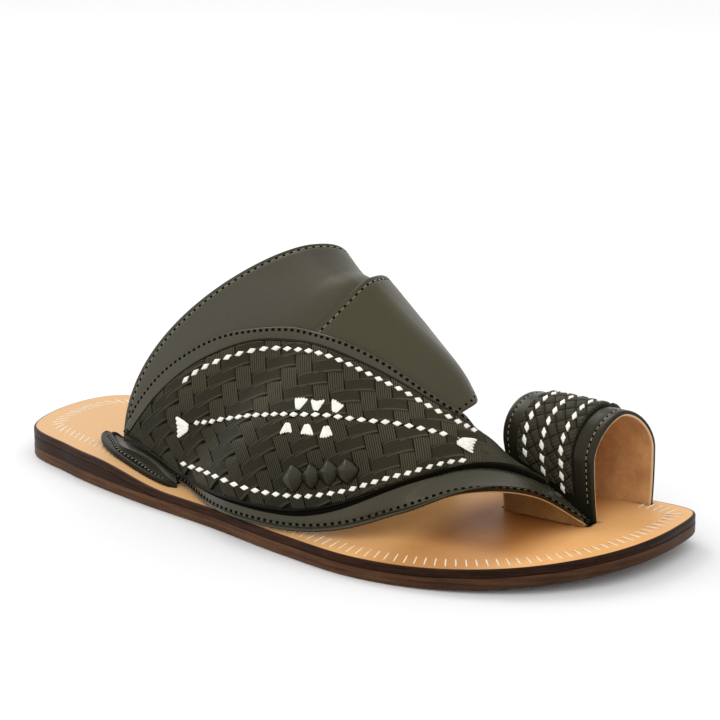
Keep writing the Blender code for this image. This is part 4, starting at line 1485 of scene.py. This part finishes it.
@dataclass
class Vamp:
    """The leaf vamp: its wall, tail lining, and the seams along both edges."""

    rows: int = 250
    middle: int = 24
    rim: float = 0.85
    upper_inset: float = 1.5
    lower_inset: float = 3.0
    furrow_at: float = 1.95
    lining_from: float = 4.3
    seam_pitch: float = 2.75
    steps: tuple = (
        0.0, 0.07, 0.18, 0.36, 0.62, 0.95, 1.25, 1.55, 1.9, 2.3, 2.7, 3.1, 3.5, 4.0, 4.8, 5.8, 7.0
    )

    def grid(self) -> tuple[np.ndarray, np.ndarray]:
        """Places and angles of the vamp's grid, finer near its two long edges.

        Returns:
            Grids of places and of angles.
        """
        row = np.linspace(0.0, len(LEAF) - 1, self.rows)
        even = np.linspace(0.0, 1.0, 30)
        place, angle = outline_grid(LEAF, row, np.tile(even, (self.rows, 1)))
        run = reach_along(on_last(place, angle, leaf_lift(place), Feet.TOES), 1)
        wanted = shares(np.maximum(run[:, -1], 4.0), self.steps, self.middle)
        share = np.array([np.interp(wanted[k], run[k] / run[k, -1], even) for k in range(self.rows)])
        return outline_grid(LEAF, row, share)

    def line(self, grid: tuple, inset: float, sink: float) -> Line:
        """The line at a distance along the rows of a grid of place, angle and reach."""
        at, turn = traced(*grid, inset)
        return line_on_last(at, turn, leaf_lift(at) - sink, Feet.TOES)

    def build(self) -> None:
        """Makes the wall, its lining and its seams."""
        place, angle = self.grid()
        lift = leaf_lift(place)
        low = reach_along(on_last(place, angle, lift, Feet.TOES), 1)
        high = low[:, -1:] - low
        near = np.minimum(low, high)
        groove = 0.2 * crease(low, self.lower_inset, 0.8) + 0.16 * crease(high, self.upper_inset, 0.7)
        furrow = crease(low, self.furrow_at, 0.3)
        groove = groove + 0.35 * furrow - 0.42 * crease(low, 1.0, 0.6)
        thick = LEATHER + 0.1 + (TAIL_LEATHER - LEATHER - 0.1) * ease((place - DROP_START) / DROP_RUN)
        inner_lift = lift - thick + closing(near, 0.4)
        outer = on_last(place, angle, lift - closing(near, self.rim) - groove, Feet.TOES)
        inner = on_last(place, angle, inner_lift, Feet.TOES)
        # Dark rims on the edges, a darker lowest 2 mm, and painted shade in the furrow 1.95 mm above the
        # lower edge.
        rim = np.clip(0.35 * ease((2.1 - low) / 0.3) + 0.6 * furrow, ease(1.0 - near / 0.9), 1.0)
        wall_piece("leaf_vamp", (inner, outer), LEAF_LEATHER, "leather", "upper", rim=(1.0, rim))
        tail = (place[:, 0] > self.lining_from, slice(4, -4))
        sides = [on_last(place[tail], angle[tail], inner_lift[tail] + gap, Feet.TOES) for gap in (-0.5, 0.1)]
        edge = ease(1.0 - near[tail] / 2.0)
        wall_piece("vamp_lining", sides, TAIL_LINING, "leather", rim=(edge, edge))
        lines = [
            self.line((place, angle, low), self.lower_inset, 0.2),
            self.line((place[:, ::-1], angle[:, ::-1], high[:, ::-1]), self.upper_inset, 0.16),
        ]
        seam("vamp_seam", lines, self.seam_pitch, 6.0, hole=1.05)


@dataclass(frozen=True)
class WeaveMap:
    """Where the crossing of a column and a row lies, on two slanting axes of the shoe.

    Along and up are k0 + k1c + k2r + k3c² + k4cr + k5r² in millimetres, and first holds the flat guess
    of place and angle from which the crossing's spot on the last is found.
    """

    along: tuple
    up: tuple
    first_place: tuple
    first_angle: tuple

    def seen(self, place: np.ndarray, angle: np.ndarray) -> np.ndarray:
        """Points of the vamp on the two slanting axes."""
        points = on_last(place, angle, leaf_lift(place) + 1.5, Feet.TOES)
        return np.stack([points @ ALONG_AXIS, points @ UP_AXIS], axis=-1)

    def spot(self, column: np.ndarray, row: np.ndarray) -> tuple[np.ndarray, np.ndarray, np.ndarray]:
        """Place and angle in radians by Newton's method, and how far each is off in millimetres.

        Args:
            column: Columns.
            row: Rows.

        Returns:
            Places, angles and distances off.
        """
        c, r = column.ravel(), row.ravel()
        terms = np.stack([np.ones_like(c), c, r, c**2, c * r, r**2])
        wanted = np.stack([np.array(self.along) @ terms, np.array(self.up) @ terms], axis=-1)
        place = np.clip(np.array(self.first_place) @ terms[:3], 0.3, 6.5)
        angle = np.radians(np.clip(np.array(self.first_angle) @ terms[:3], 6.0, 80.0))
        for _ in range(9):
            here = self.seen(place, angle)
            by_place = (self.seen(place + 0.02, angle) - here) / 0.02
            by_angle = (self.seen(place, angle + 0.01) - here) / 0.01
            size = by_place[:, 0] * by_angle[:, 1] - by_place[:, 1] * by_angle[:, 0]
            size = np.where(np.abs(size) < 30.0, np.copysign(30.0, size), size)
            away = wanted - here
            step_place = (by_angle[:, 1] * away[:, 0] - by_angle[:, 0] * away[:, 1]) / size
            step_angle = (by_place[:, 0] * away[:, 1] - by_place[:, 1] * away[:, 0]) / size
            place = np.clip(place + np.clip(step_place, -0.5, 0.5), 0.1, 7.5)
            angle = np.clip(angle + np.clip(step_angle, -0.2, 0.2), 0.03, 1.66)
        off = np.linalg.norm(wanted - self.seen(place, angle), axis=1)
        return place.reshape(column.shape), angle.reshape(column.shape), off.reshape(column.shape)

    def read(self, column: np.ndarray, row: np.ndarray) -> tuple[np.ndarray, np.ndarray, np.ndarray]:
        """The same, read off a lattice of half steps as a straight mix of its four nearest crossings.

        Args:
            column: Columns.
            row: Rows.

        Returns:
            Places, angles and distances off.
        """
        start = np.array([column.min(), row.min()]) - 0.5
        counts = (2.0 * (np.array([column.max(), row.max()]) - start)).astype(int) + 3
        steps = [start[k] + 0.5 * np.arange(counts[k]) for k in range(2)]
        lattice = np.stack(self.spot(*np.meshgrid(*steps, indexing="ij")), axis=-1)
        c, r = 2.0 * (column - start[0]), 2.0 * (row - start[1])
        i, j = c.astype(int), r.astype(int)
        s, t = (c - i)[..., None], (r - j)[..., None]
        low = lattice[i, j] * (1.0 - t) + lattice[i, j + 1] * t
        high = lattice[i + 1, j] * (1.0 - t) + lattice[i + 1, j + 1] * t
        mixed = low * (1.0 - s) + high * s
        return mixed[..., 0], mixed[..., 1], mixed[..., 2]


@dataclass
class WovenPanel:
    """The twill panel: a base painted near black as the shade between strips, flat strips over two columns,
    ribbed strips over one row and a half.
    """

    upper_map: WeaveMap = WeaveMap(
        (99.8, 5.95, 0.24, -0.007, -0.023, 0.108), (31.1, -0.275, -5.64, -0.078, 0.114, 0.003),
        (2.02, 0.20, 0.21), (47.4, 1.75, -3.1),
    )
    lower_map: WeaveMap = WeaveMap(
        (96.3, 5.47, 2.14, 0.038, -0.132, -0.039), (5.63, 0.537, -5.64, -0.056, -0.006, -0.164),
        (2.87, 0.15, 0.215), (32.3, 1.8, -5.0),
    )
    # Rise of the flat strips' right ends over their left ones, at the heel end and the toe end.
    upper_tilt: tuple = (0.46, 0.10)
    lower_tilt: tuple = (0.46, 0.26)
    arch_up: float = 0.07
    base_thick: float = 0.55
    flat_rise: float = 0.86
    ribbed_rise: float = 0.68
    ribs: int = 7
    rib_height: float = 0.36
    lip: float = 1.25
    # A strip is left out with less of it than this inside its half, or so far off its crossing.
    least_share: float = 0.06
    most_off: float = 2.5
    # Points measured against the outline at a time.
    batch: int = 4000

    def kept_inside(self, place: np.ndarray, angle: np.ndarray) -> tuple[np.ndarray, np.ndarray, np.ndarray]:
        """Points outside the panel's outline moved onto it, and each point's distance inside it.

        The nearest outline point is found for each point, and the sign is that of the offset along the
        outline's own inward direction.

        Args:
            place: Places along the ribs.
            angle: Angles round them, in radians.

        Returns:
            Places, angles and distances inside the outline.
        """
        row = np.linspace(0.0, len(PANEL) - 1, 420)
        share = np.tile([0.0, 0.02, 0.98, 1.0], (len(row), 1))
        edge_place, edge_angle = outline_grid(PANEL, row, share)
        spots = on_last(edge_place, edge_angle, leaf_lift(edge_place), Feet.TOES)
        edge = np.vstack([spots[:, 0], spots[:, 3]])
        rim_place = np.concatenate([edge_place[:, 0], edge_place[:, 3]])
        rim_angle = np.concatenate([edge_angle[:, 0], edge_angle[:, 3]])
        inward = unit(np.vstack([spots[:, 1] - spots[:, 0], spots[:, 2] - spots[:, 3]]))
        points = on_last(place, angle, leaf_lift(place), Feet.TOES).reshape(-1, 3)
        found, index = np.empty(len(points)), np.empty(len(points), int)
        for start in range(0, len(points), self.batch):
            part = slice(start, start + self.batch)
            away = np.linalg.norm(points[part, None] - edge[None], axis=2)
            nearest = away.argmin(axis=1)
            inside = np.sum((points[part] - edge[nearest]) * inward[nearest], axis=1)
            found[part] = away.min(axis=1) * np.sign(inside)
            index[part] = nearest
        found, index = found.reshape(place.shape), index.reshape(place.shape)
        out = found < 0.0
        return np.where(out, rim_place[index], place), np.where(out, rim_angle[index], angle), found

    def base(self) -> None:
        """The sheet under the strips, painted near black as the shade between them."""
        row = np.linspace(0.0, len(PANEL) - 1, 210)
        edge = (0.0, 0.01, 0.02, 0.03, 0.045, 0.06)
        share = np.concatenate([edge, np.linspace(0.08, 0.92, 32), 1.0 - np.array(edge)[::-1]])
        place, angle = outline_grid(PANEL, row, np.tile(share, (len(row), 1)))
        top = leaf_lift(place) + PANEL_GAP + self.base_thick
        low = reach_along(on_last(place, angle, top, Feet.TOES), 1)
        high = low[:, -1:] - low
        near, upper_lip, fade = np.minimum(low, high), crease(high, 0.8, 0.5), tail_fade(place)
        top = top + self.lip * (crease(low, 0.9, 0.65) + 0.5 * upper_lip) - closing(near, 0.5)
        sides = [on_last(place, angle, lift, Feet.TOES) for lift in (leaf_lift(place) - 0.3, top)]
        # Painted shade: near black over the base and on its lower lip, less on the upper lip and towards the
        # tail.
        deep = np.maximum((1.0 - 0.75 * fade) * (1.0 - 0.6 * upper_lip), crease(low, 0.7, 0.95))
        marks = {"deep": (1.0, deep), "strip": (0.0, 0.6 * fade)}
        wall_piece("panel_base", sides, WEAVE, "weave", "woven_panel", **marks)

    def cord(self) -> None:
        """The cord outside the panel's lower edge, a tube that swells towards the toes; its near black is
        painted shade of the lip there.
        """
        row = np.linspace(2.0, len(PANEL) - 1.0, 340)
        place, angle = outline_grid(PANEL, row, np.tile([0.0, 0.02], (len(row), 1)))
        spots = on_last(place, angle, leaf_lift(place), Feet.TOES)
        outward = unit(spots[:, 0] - spots[:, 1])
        normal = normals_on_last(place[:, 0], angle[:, 0], Feet.TOES)
        swell = 0.3 + 0.75 * ease((place[:, 0] - 2.0) / 2.2)
        ends = np.clip(np.minimum(row - row[0], row[-1] - row) / 0.15, 0.0, 1.0)
        turn = 2.0 * math.pi * np.arange(10) / 10
        round_way = np.cos(turn)[:, None] * outward[:, None] + np.sin(turn)[:, None] * normal[:, None]
        centre = spots[:, 0] + (0.4 * outward + 0.5 * normal) * swell[:, None]
        points = centre[:, None] + round_way * (swell * np.sqrt(ends))[:, None, None]
        shape = Shape()
        shape.add(points.reshape(-1, 3), loop_faces(len(row), len(turn)))
        dress(shape.build("panel_cord", HOLES), "weave")

    def relief(self, u: np.ndarray, v: np.ndarray, across: bool) -> tuple[np.ndarray, np.ndarray]:
        """Rise and lightness of a strip, by its own column and row from -1 to 1.

        A flat strip is a rounded slab with faint lines and a painted highlight along its edges, strongest at
        the lower one; a ribbed one carries round ridges side by side, the size of a sine to the power 0.7,
        with a painted highlight on each ridge and painted shade between them.

        Args:
            u: Own column.
            v: Own row.
            across: True for the flat strips.

        Returns:
            Rise in millimetres and lightness, which carries the painted highlight and shade.
        """
        if across:
            lines = 0.5 + 0.5 * np.cos(v * math.pi * 5.0)
            rise = self.flat_rise * (1.0 - 0.3 * np.abs(v) ** 8) * (1.0 - 0.75 * np.abs(u) ** 12)
            rise = rise + 0.14 * crease(np.abs(v), 0.82, 0.13) + 0.09 * lines
            return rise, 0.95 * crease(v, 0.86, 0.1) + 0.3 * crease(v, -0.85, 0.1) + 0.14 * lines
        ridge = np.abs(np.sin((u + 1.0) * math.pi * self.ribs / 2)) ** 0.7
        rise = self.ribbed_rise * (1.0 - 0.85 * np.abs(v) ** 4) * (1.0 - 0.2 * np.abs(u) ** 6)
        return rise + self.rib_height * (ridge - 0.6) * (1.0 - v**6), 0.12 + 0.72 * ridge

    def strips(
        self, name: str, chart: WeaveMap, above: bool, across: bool, columns: tuple, rows: tuple
    ) -> None:
        """All strips of one kind in one half of the panel.

        Args:
            name: Name of the piece.
            chart: Map from columns and rows to the last.
            above: Whether the half lies above the middle lace.
            across: True for the flat strips, False for the ribbed ones.
            columns: First and last column.
            rows: First and last row.
        """
        grid_c, grid_r = np.meshgrid(np.arange(*columns), np.arange(*rows), indexing="ij")
        keep = (grid_c + grid_r) % 3 == 0
        half_c, half_r, n_c, n_r, shift = (0.975, 0.455, 24, 17, 0.0) if across else (0.50, 0.87, 43, 12, 1.5)
        centre_c, centre_r = grid_c[keep] + shift, grid_r[keep].astype(float)
        u, v = np.meshgrid(np.linspace(-1, 1, n_c), np.linspace(-1, 1, n_r), indexing="ij")
        column = centre_c[:, None, None] + half_c * u
        row = centre_r[:, None, None] + half_r * v
        if across:
            tilts = self.upper_tilt if above else self.lower_tilt
            tilt = np.interp(centre_c, (-8.0, 13.0), tilts)[:, None, None]
            row = row - tilt * u - self.arch_up * (1.0 - u**2)
        place, angle, off = chart.read(column, row)
        rise, tone = self.relief(u, v, across)
        rise = rise * (1.0 - 0.4 * tail_fade(place))
        lace = np.vstack([[0.2, 4.0], [0.95, 13.0], MIDDLE_LACE, [5.2, 62.0], [6.8, 79.0]])
        side = (np.degrees(angle) - np.interp(place, *lace.T)) * (1.0 if above else -1.0)
        place, angle, border = self.kept_inside(place, angle)
        overlap = 0.5 + 2.5 * ease((1.5 - place) / 0.3) + 1.5 * tail_fade(place)
        mask = ease(border / 1.6) * ease((side + overlap) / 1.2)
        top = leaf_lift(place) + PANEL_GAP + self.base_thick + rise * mask - 1.0 * (1.0 - mask)
        shape = Shape()
        for k in range(len(centre_c)):
            outside = (border[k] > 0.3).mean() < self.least_share
            past_lace = (side[k] > 0.5 - overlap[k]).mean() < self.least_share
            if outside or past_lace or off[k].max() > self.most_off:
                continue
            outer = on_last(place[k], angle[k], top[k], Feet.TOES)
            inner = on_last(place[k], angle[k], leaf_lift(place[k]) - 0.4, Feet.TOES)
            # Painted shade where the strip sinks under its neighbours or the mask, less towards the tail.
            deep = ease((0.5 - (rise * mask)[k]) / 0.4) * (1.0 - 0.7 * tail_fade(place[k]))
            shape.shell(inner, outer, strip=(0.0, tone), deep=(1.0, deep))
        dress(shape.build(name, WEAVE, 35.0), "weave", "woven_panel")

    def build(self) -> None:
        """Makes the base and the strips of both halves."""
        self.base()
        self.cord()
        for across in (True, False):
            kind = "flat" if across else "ribbed"
            self.strips(f"upper_{kind}_strips", self.upper_map, True, across, (-12, 24), (-9, 14))
            self.strips(f"lower_{kind}_strips", self.lower_map, False, across, (-15, 22), (-6, 12))


@dataclass
class Lacing:
    """White lacing: lozenges along three lines and fanned tufts of thread."""

    lift: float = PANEL_GAP + 1.42
    length: float = 0.80
    wide: float = 2.0
    rise: float = 0.5
    lean: float = math.radians(9.0)
    # Tufts: place, angle, turn of the fan in degrees, width, height and the tip's share of the width.
    tufts: tuple = (
        (1.36, 19.7, 310.0, 8.8, 6.9, 0.10), (4.90, 57.6, 108.0, 6.2, 10.0, 0.04),
        (2.94, 40.0, 192.0, 5.7, 4.6, 0.10), (3.12, 41.9, 202.0, 5.7, 4.5, 0.14),
        (3.32, 44.0, 194.0, 5.5, 4.3, 0.18), (3.08, 32.9, 20.0, 5.1, 4.3, 0.24),
        (3.29, 35.0, 32.0, 5.3, 4.3, 0.24), (3.48, 37.0, 32.0, 5.1, 4.2, 0.24),
    )

    def build(self) -> None:
        """Makes the lozenges and the tufts."""
        shape = Shape()
        for table, pace in zip((UPPER_LACE, MIDDLE_LACE, LOWER_LACE), (UPPER_PACE, MIDDLE_PACE, LOWER_PACE)):
            at, pitch = lace_line(table, self.lift).paced(pace)
            shape.stamp(LOZENGE, at.turned(self.lean), (pitch * self.length, self.wide, self.rise))
        dress(shape.build("lace_lozenges", LACE, 50.0), "weave")
        tufts = Shape()
        for place, angle, turn, width, height, narrow in self.tufts:
            ends = np.array([place - 0.02, place + 0.02])
            level = leaf_lift(place) + self.lift
            line = line_on_last(ends, np.full(2, math.radians(angle)), level, Feet.TOES)
            frame = line.frames(1.0e6).turned(math.radians(turn))
            for k, share in enumerate(np.linspace(-0.42, 0.42, 5)):
                ragged = 0.5 * math.sin(7.0 * k + 11.0 * place)
                foot = np.array([share * width, -height / 2 - ragged])
                tip = np.array([share * width * narrow, height / 2 - 0.5 * abs(ragged) * (k % 3)])
                middle, run = (foot + tip) / 2, tip - foot
                fan = frame.moved(middle[0], middle[1], 0.12 * (k % 2))
                slope = math.atan2(run[1], run[0])
                length = float(np.hypot(*run))
                tufts.stamp(thread_form(0.06), fan.turned(slope), (length, width / 4.7, 0.8))
        dress(tufts.build("lace_tufts", LACE, 50.0), "weave")


@dataclass
class Beads:
    """Four padded leather lozenges with a soft ridge along their length."""

    # Place, angle, width and length of each.
    spots: tuple = (
        (3.59, 20.8, 9.6, 10.9), (3.75, 23.3, 7.9, 10.2), (3.89, 26.1, 8.6, 10.6), (4.05, 28.4, 9.2, 10.3),
    )
    high: float = 4.0

    def bead(self, number: int, spot: tuple) -> None:
        """One bead: a superellipse plan and a crown (1 - ρ^1.6)^0.74 with two ridges, and painted shade:
        darker below, to the right and round its rim.

        Args:
            number: Number of the CAD node.
            spot: Its row of the table.
        """
        wide, tall = spot[2:]
        ends = np.array([spot[:2], self.spots[0][:2], self.spots[-1][:2]])
        places, angles = ends[:, 0], np.radians(ends[:, 1])
        base = leaf_lift(places) + PANEL_GAP + 1.0
        centre, first, last = on_last(places, angles, base, Feet.TOES)
        normal = normals_on_last(places, angles, Feet.TOES)[0]
        long_way = unit(np.cross(normal, last - first))
        wide_way = np.cross(long_way, normal)
        rho = np.linspace(0.0, 1.0, 26)[:, None]
        turn = np.linspace(0, 2 * math.pi, 96, endpoint=False)
        u, v = bent(np.cos(turn), 1.4) * rho, bent(np.sin(turn), 1.5) * rho
        crown = np.maximum(1.0 - rho**1.6, 0.0) ** 0.74
        rise = self.high * crown * (0.85 + 0.04 * crease(v, 0.0, 0.3) + 0.1 * crease(u, 0.0, 0.24))
        plan = wide_way * (u * wide / 2)[..., None] + long_way * (v * tall / 2)[..., None]
        top = centre + plan + normal * rise[..., None]
        under = centre + plan * 0.97 - normal * 0.4
        cap = loop_faces(*u.shape)
        ring = np.arange(u.size - u.shape[1], u.size)
        after = np.roll(ring, -1)
        side = np.stack([ring, after, after + u.size, ring + u.size], axis=-1)
        faces = np.vstack([cap, cap[:, [0, 3, 2, 1]] + u.size, side])
        # Painted shade: darker on the lower half, on the right side and round the outer rim, carried by the
        # rim mark.
        dark = 0.85 * ease((0.1 - v) / 0.8) + 0.35 * ease((u - 0.05) / 0.7) + 0.8 * ease((rho - 0.82) / 0.18)
        points = np.vstack([top.reshape(-1, 3), under.reshape(-1, 3)])
        shape = Shape()
        shape.add(points, faces, rim=np.tile(np.minimum(dark, 1.0).ravel(), 2))
        piece = shape.build(f"padded_bead_{number}", BEAD_LEATHER, 70.0)
        dress(piece, "weave", f"bead_{number}")

    def build(self) -> None:
        """Makes the four beads."""
        for number, spot in enumerate(self.spots, start=1):
            self.bead(number, spot)


@dataclass
class Tab:
    """The crescent tab: a rolled, stitched outer layer and a smaller layer on it."""

    thick: float = 1.8
    columns: int = 140
    stitch_row: int = 20

    def build(self) -> None:
        """Makes both layers and the seam."""
        folds = smooth(np.arange(len(TAB)), TAB, np.linspace(0.0, len(TAB) - 1, self.columns))
        wall_x, wall_y, wall_up, bend_x, bend_y, out_x, out_y, lift = folds.T
        ground = insole_top(bend_x) + 0.1 + lift
        wall = np.column_stack([wall_x, wall_y, ground + wall_up + self.thick])
        bend = np.column_stack([bend_x, bend_y, ground + self.thick])
        edge = np.column_stack([out_x, out_y, insole_top(out_x) + 0.1 + lift + self.thick])
        knots = np.stack([wall, bend, edge])
        at = np.linspace(0.0, 2.0, 34)
        top = np.stack([smooth((0.0, 1.0, 2.0), knots[:, k], at) for k in range(self.columns)])
        across = reach_along(top, 1)
        to_edge = across[:, -1:] - across
        ends = np.minimum(np.arange(self.columns), np.arange(self.columns)[::-1])[:, None] * 0.4
        near = np.minimum(np.minimum(across, to_edge), ends)
        outer, inner = top.copy(), top.copy()
        outer[..., 2] += 0.35 * crease(to_edge, 1.1, 0.8) - closing(near, 0.85)
        inner[..., 2] -= self.thick - closing(near, 0.5)
        # Darker towards the outer edge: dark edge colour, and painted shade on the rolled rim's low side.
        rim = (1.0, ease(1.0 - to_edge / 1.4))
        wall_piece("tab_leather", (inner, outer), TAB_LEATHER, "leather", "lateral_tab", sharp=60.0, rim=rim)
        middle = top[:, self.stitch_row]
        beside = top[:, self.stitch_row + 1] - top[:, self.stitch_row - 1]
        normal = np.cross(np.gradient(middle, axis=0), beside)
        normal = unit(normal * np.sign(normal[:, 2:3]))
        seam("tab_seam", [Line(middle + normal * 0.02, normal)], 2.4, 5.0, PALE_SEAM)
        self.inner(top[:, 3])

    def inner(self, near_edge: np.ndarray) -> None:
        """The inner layer, a straight mix from the tab's turned-up edge to the foot of the vamp.

        Args:
            near_edge: Points of the tab's inner edge.
        """
        place = np.linspace(0.0, 1.5, len(near_edge))
        foot = on_last(place, np.full(len(place), 0.06), leaf_lift(place) - 1.0, Feet.TOES)
        mix = np.linspace(0.0, 1.0, 14)[None, :, None]
        top = near_edge[:, None] * (1.0 - mix) + foot[:, None] * mix
        top[..., 2] += 0.9 * np.sin(math.pi * mix[..., 0]) - 1.1 * (1.0 - mix[..., 0]) ** 2
        sides = (top - np.array([0.0, 0.0, 1.2]), top)
        wall_piece("tab_inner_layer", sides, OLIVE, "leather", "lateral_tab", sharp=60.0, rim=(1.0, 0.0))


@dataclass
class ToeRing:
    """The ring for the big toe: leather wall, suede lining, raised woven band, seams and lacing."""

    rows: int = 42
    columns: int = 156
    rim: float = 0.85
    stitch_share: tuple = (0.062, 0.925)
    lace_share: tuple = (0.27, 0.46, 0.67)
    lace_starts: tuple = (0.235, 0.18, 0.125)
    lace_lift: float = 1.28
    lace_pitch: float = 4.9
    strip_pitch: float = 6.4

    def wall(self) -> None:
        """The leather wall with rounded rims and its lining."""
        share = shares(np.array([34.0]), (0.0, 0.08, 0.2, 0.45, 0.8, 1.3, 1.9, 2.6, 3.4), self.rows)[0]
        place, turn = np.meshgrid(share, np.linspace(0.0, 1.0, self.columns), indexing="ij")
        from_rear = reach_along(on_ring(place, turn, 0.0), 0)
        width = from_rear[-1:]
        near = np.minimum(from_rear, width - from_rear)
        groove = 0.2 * sum(crease(from_rear, width * part, 0.5) for part in self.stitch_share)
        lifts = (
            -RING_THICK + 0.6 + closing(near, 0.35),
            -closing(near, self.rim) - groove,
            -RING_THICK - 0.15 + closing((near - 0.35).clip(0), 0.4),
            -RING_THICK + 0.62 + closing(near, 0.3),
        )
        inner, outer, under, top = (on_ring(place, turn, lift) for lift in lifts)
        for grid in (inner, outer, under, top):
            seat(grid, [0, -1])
        rim = (0.0, 0.6 * ease(1.0 - near / 0.8))
        wall_piece("toe_ring_leather", (inner, outer), DARK_OLIVE, "leather", "toe_loop", rim=rim)
        cut = ease(1.0 - near / 1.1)[2:-2]
        sides = (under[2:-2], top[2:-2])
        wall_piece("toe_ring_lining", sides, LINING, "leather", "toe_loop", rim=(cut, cut))

    def band(self) -> None:
        """The raised band: slanting strips that cross in rows between smooth borders."""
        share = np.linspace(0.0, 1.0, 92)[:, None]
        starts = WEAVE_STARTS[0] + (WEAVE_STARTS[1] - WEAVE_STARTS[0]) * share
        turn = starts + (WEAVE_END - starts) * np.linspace(0.0, 1.0, 310)
        place = np.broadcast_to(WEAVE_FROM + (WEAVE_TO - WEAVE_FROM) * share, turn.shape)
        over = on_ring(place, turn, 1.0)
        across, along = reach_along(over, 0), reach_along(over, 1)
        near = np.minimum(across, across[-1:] - across)
        first = along / self.strip_pitch + across / self.strip_pitch
        second = along / self.strip_pitch - across / self.strip_pitch
        over_first = (np.floor(first) + np.floor(second)) % 2 == 0
        side_way = np.where(over_first, second, first) % 1.0
        long_way = np.where(over_first, first, second) % 1.0
        arched = 1.0 - np.abs(2.0 * side_way - 1.0) ** 5
        diving = 1.0 - 0.75 * np.abs(2.0 * long_way - 1.0) ** 5
        ribs = 0.5 - 0.5 * np.cos(2 * math.pi * side_way * 4.0)
        rise = 0.35 + 0.75 * arched * diving + 0.17 * ribs * arched
        rise = rise * ease(near / 0.9) + 0.05
        sides = [on_ring(place, turn, lift) for lift in (np.full_like(rise, -0.3), 0.3 + rise)]
        # Painted highlight on the rib tops and painted shade where the strips dive low.
        marks = {"strip": (0.0, ribs * 0.55 * arched), "deep": (1.0, ease((1.0 - rise) / 0.55))}
        wall_piece("toe_ring_band", sides, RING_WEAVE, "weave", "toe_loop_weave", sharp=50.0, **marks)

    def line(self, share: float, lift: float, start: float, end: float) -> Line:
        """A line round the ring at a share of its width.

        Args:
            share: Share of the width.
            lift: Distance outside the surface.
            start: Share of the way round at its start.
            end: The same at its end.

        Returns:
            The line.
        """
        turn = np.linspace(start, end, 300)
        place = np.full_like(turn, share)
        points, above = on_ring(place, turn, lift), on_ring(place, turn, lift + 1.0)
        return Line(points, above - points)

    def build(self) -> None:
        """Makes the wall, lining, band, seams and lacing."""
        self.wall()
        self.band()
        lines = [self.line(share, -0.2, 0.07, 0.97) for share in self.stitch_share]
        seam("toe_ring_seam", lines, 2.4, 1.0, PALE_SEAM, 0.7)
        shape = Shape()
        for share, start in zip(self.lace_share, self.lace_starts):
            at = self.line(share, self.lace_lift, start, 0.90).frames(self.lace_pitch)
            shape.stamp(LOZENGE, at.turned(0.28), (4.2, 2.1, 0.5))
        dress(shape.build("toe_ring_lace", LACE, 50.0), "weave")


# ---------------------------------------------------------------- studio


@dataclass
class Studio:
    """White floor, white surroundings, large soft lights and the camera."""

    target: tuple = (-0.106417, 0.168640, 0.0)
    azimuth: float = 36.5242
    elevation: float = 16.2198
    distance: float = 0.995722
    lens: float = 102.4424
    floor_size: float = 14.0
    surround: float = 1.27
    look_at: tuple = (0.0, 0.0, 0.04)

    def floor(self) -> None:
        """A flat white floor."""
        half = self.floor_size
        corners = [(-half, -half, 0), (half, -half, 0), (half, half, 0), (-half, half, 0)]
        mesh = bpy.data.meshes.new("studio_floor")
        mesh.from_pydata(corners, [], [(0, 1, 2, 3)])
        floor = bpy.data.objects.new("studio_floor", mesh)
        mesh.materials.append(Backdrop("studio white").material())
        bpy.context.collection.objects.link(floor)

    def lamp(self, name: str, place: tuple, power: float, size: float) -> None:
        """A square soft light that looks at the sandal.

        Args:
            name: Name of the light.
            place: Where it stands, in metres.
            power: In watts.
            size: Side of the square, in metres.
        """
        data = bpy.data.lights.new(name, "AREA")
        data.energy, data.size = power, size
        lamp = bpy.data.objects.new(name, data)
        lamp.location = place
        look = Vector(self.look_at) - lamp.location
        lamp.rotation_euler = look.to_track_quat("-Z", "Y").to_euler()
        bpy.context.collection.objects.link(lamp)

    def camera(self) -> None:
        """The camera, at its distance from the target, with a long lens."""
        a, e = math.radians(self.azimuth), math.radians(self.elevation)
        away = Vector((math.sin(a) * math.cos(e), -math.cos(a) * math.cos(e), math.sin(e)))
        data = bpy.data.cameras.new("camera")
        data.lens, data.sensor_width = self.lens, 36.0
        data.clip_start, data.clip_end = 0.01, 20.0
        camera = bpy.data.objects.new("camera", data)
        camera.location = Vector(self.target) + away * self.distance
        camera.rotation_euler = (-away).to_track_quat("-Z", "Y").to_euler()
        bpy.context.collection.objects.link(camera)
        bpy.context.scene.camera = camera

    def build(self) -> None:
        """Sets the stage."""
        scene = bpy.context.scene
        world = bpy.data.worlds.new("studio")
        world.use_nodes = True
        world.node_tree.nodes["Background"].inputs["Color"].default_value = (1.0, 1.0, 1.0, 1.0)
        world.node_tree.nodes["Background"].inputs["Strength"].default_value = self.surround
        scene.world = world
        scene.view_settings.view_transform = "Standard"
        scene.view_settings.look = "None"
        self.floor()
        self.lamp("key_light", (-0.9, 0.32, 1.15), 7.2, 0.8)
        self.lamp("fill_light", (0.5, -1.2, 0.9), 1.5, 0.9)
        self.camera()


def main() -> None:
    """Builds every piece round the frame."""
    logging.basicConfig(level=logging.INFO, format="%(name)s: %(message)s")
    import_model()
    Sole().build()
    Band("rear_band", REAR_BAND, 0.0, LEATHER, sag=1.7).build()
    Band("front_band", FRONT_BAND, LEATHER - 1.2, 2 * LEATHER, bulge=(1.2, 2.9), flare=0.1).build()
    Vamp().build()
    WovenPanel().build()
    Lacing().build()
    Beads().build()
    Tab().build()
    ToeRing().build()
    Studio().build()


if __name__ == "__main__":
    main()
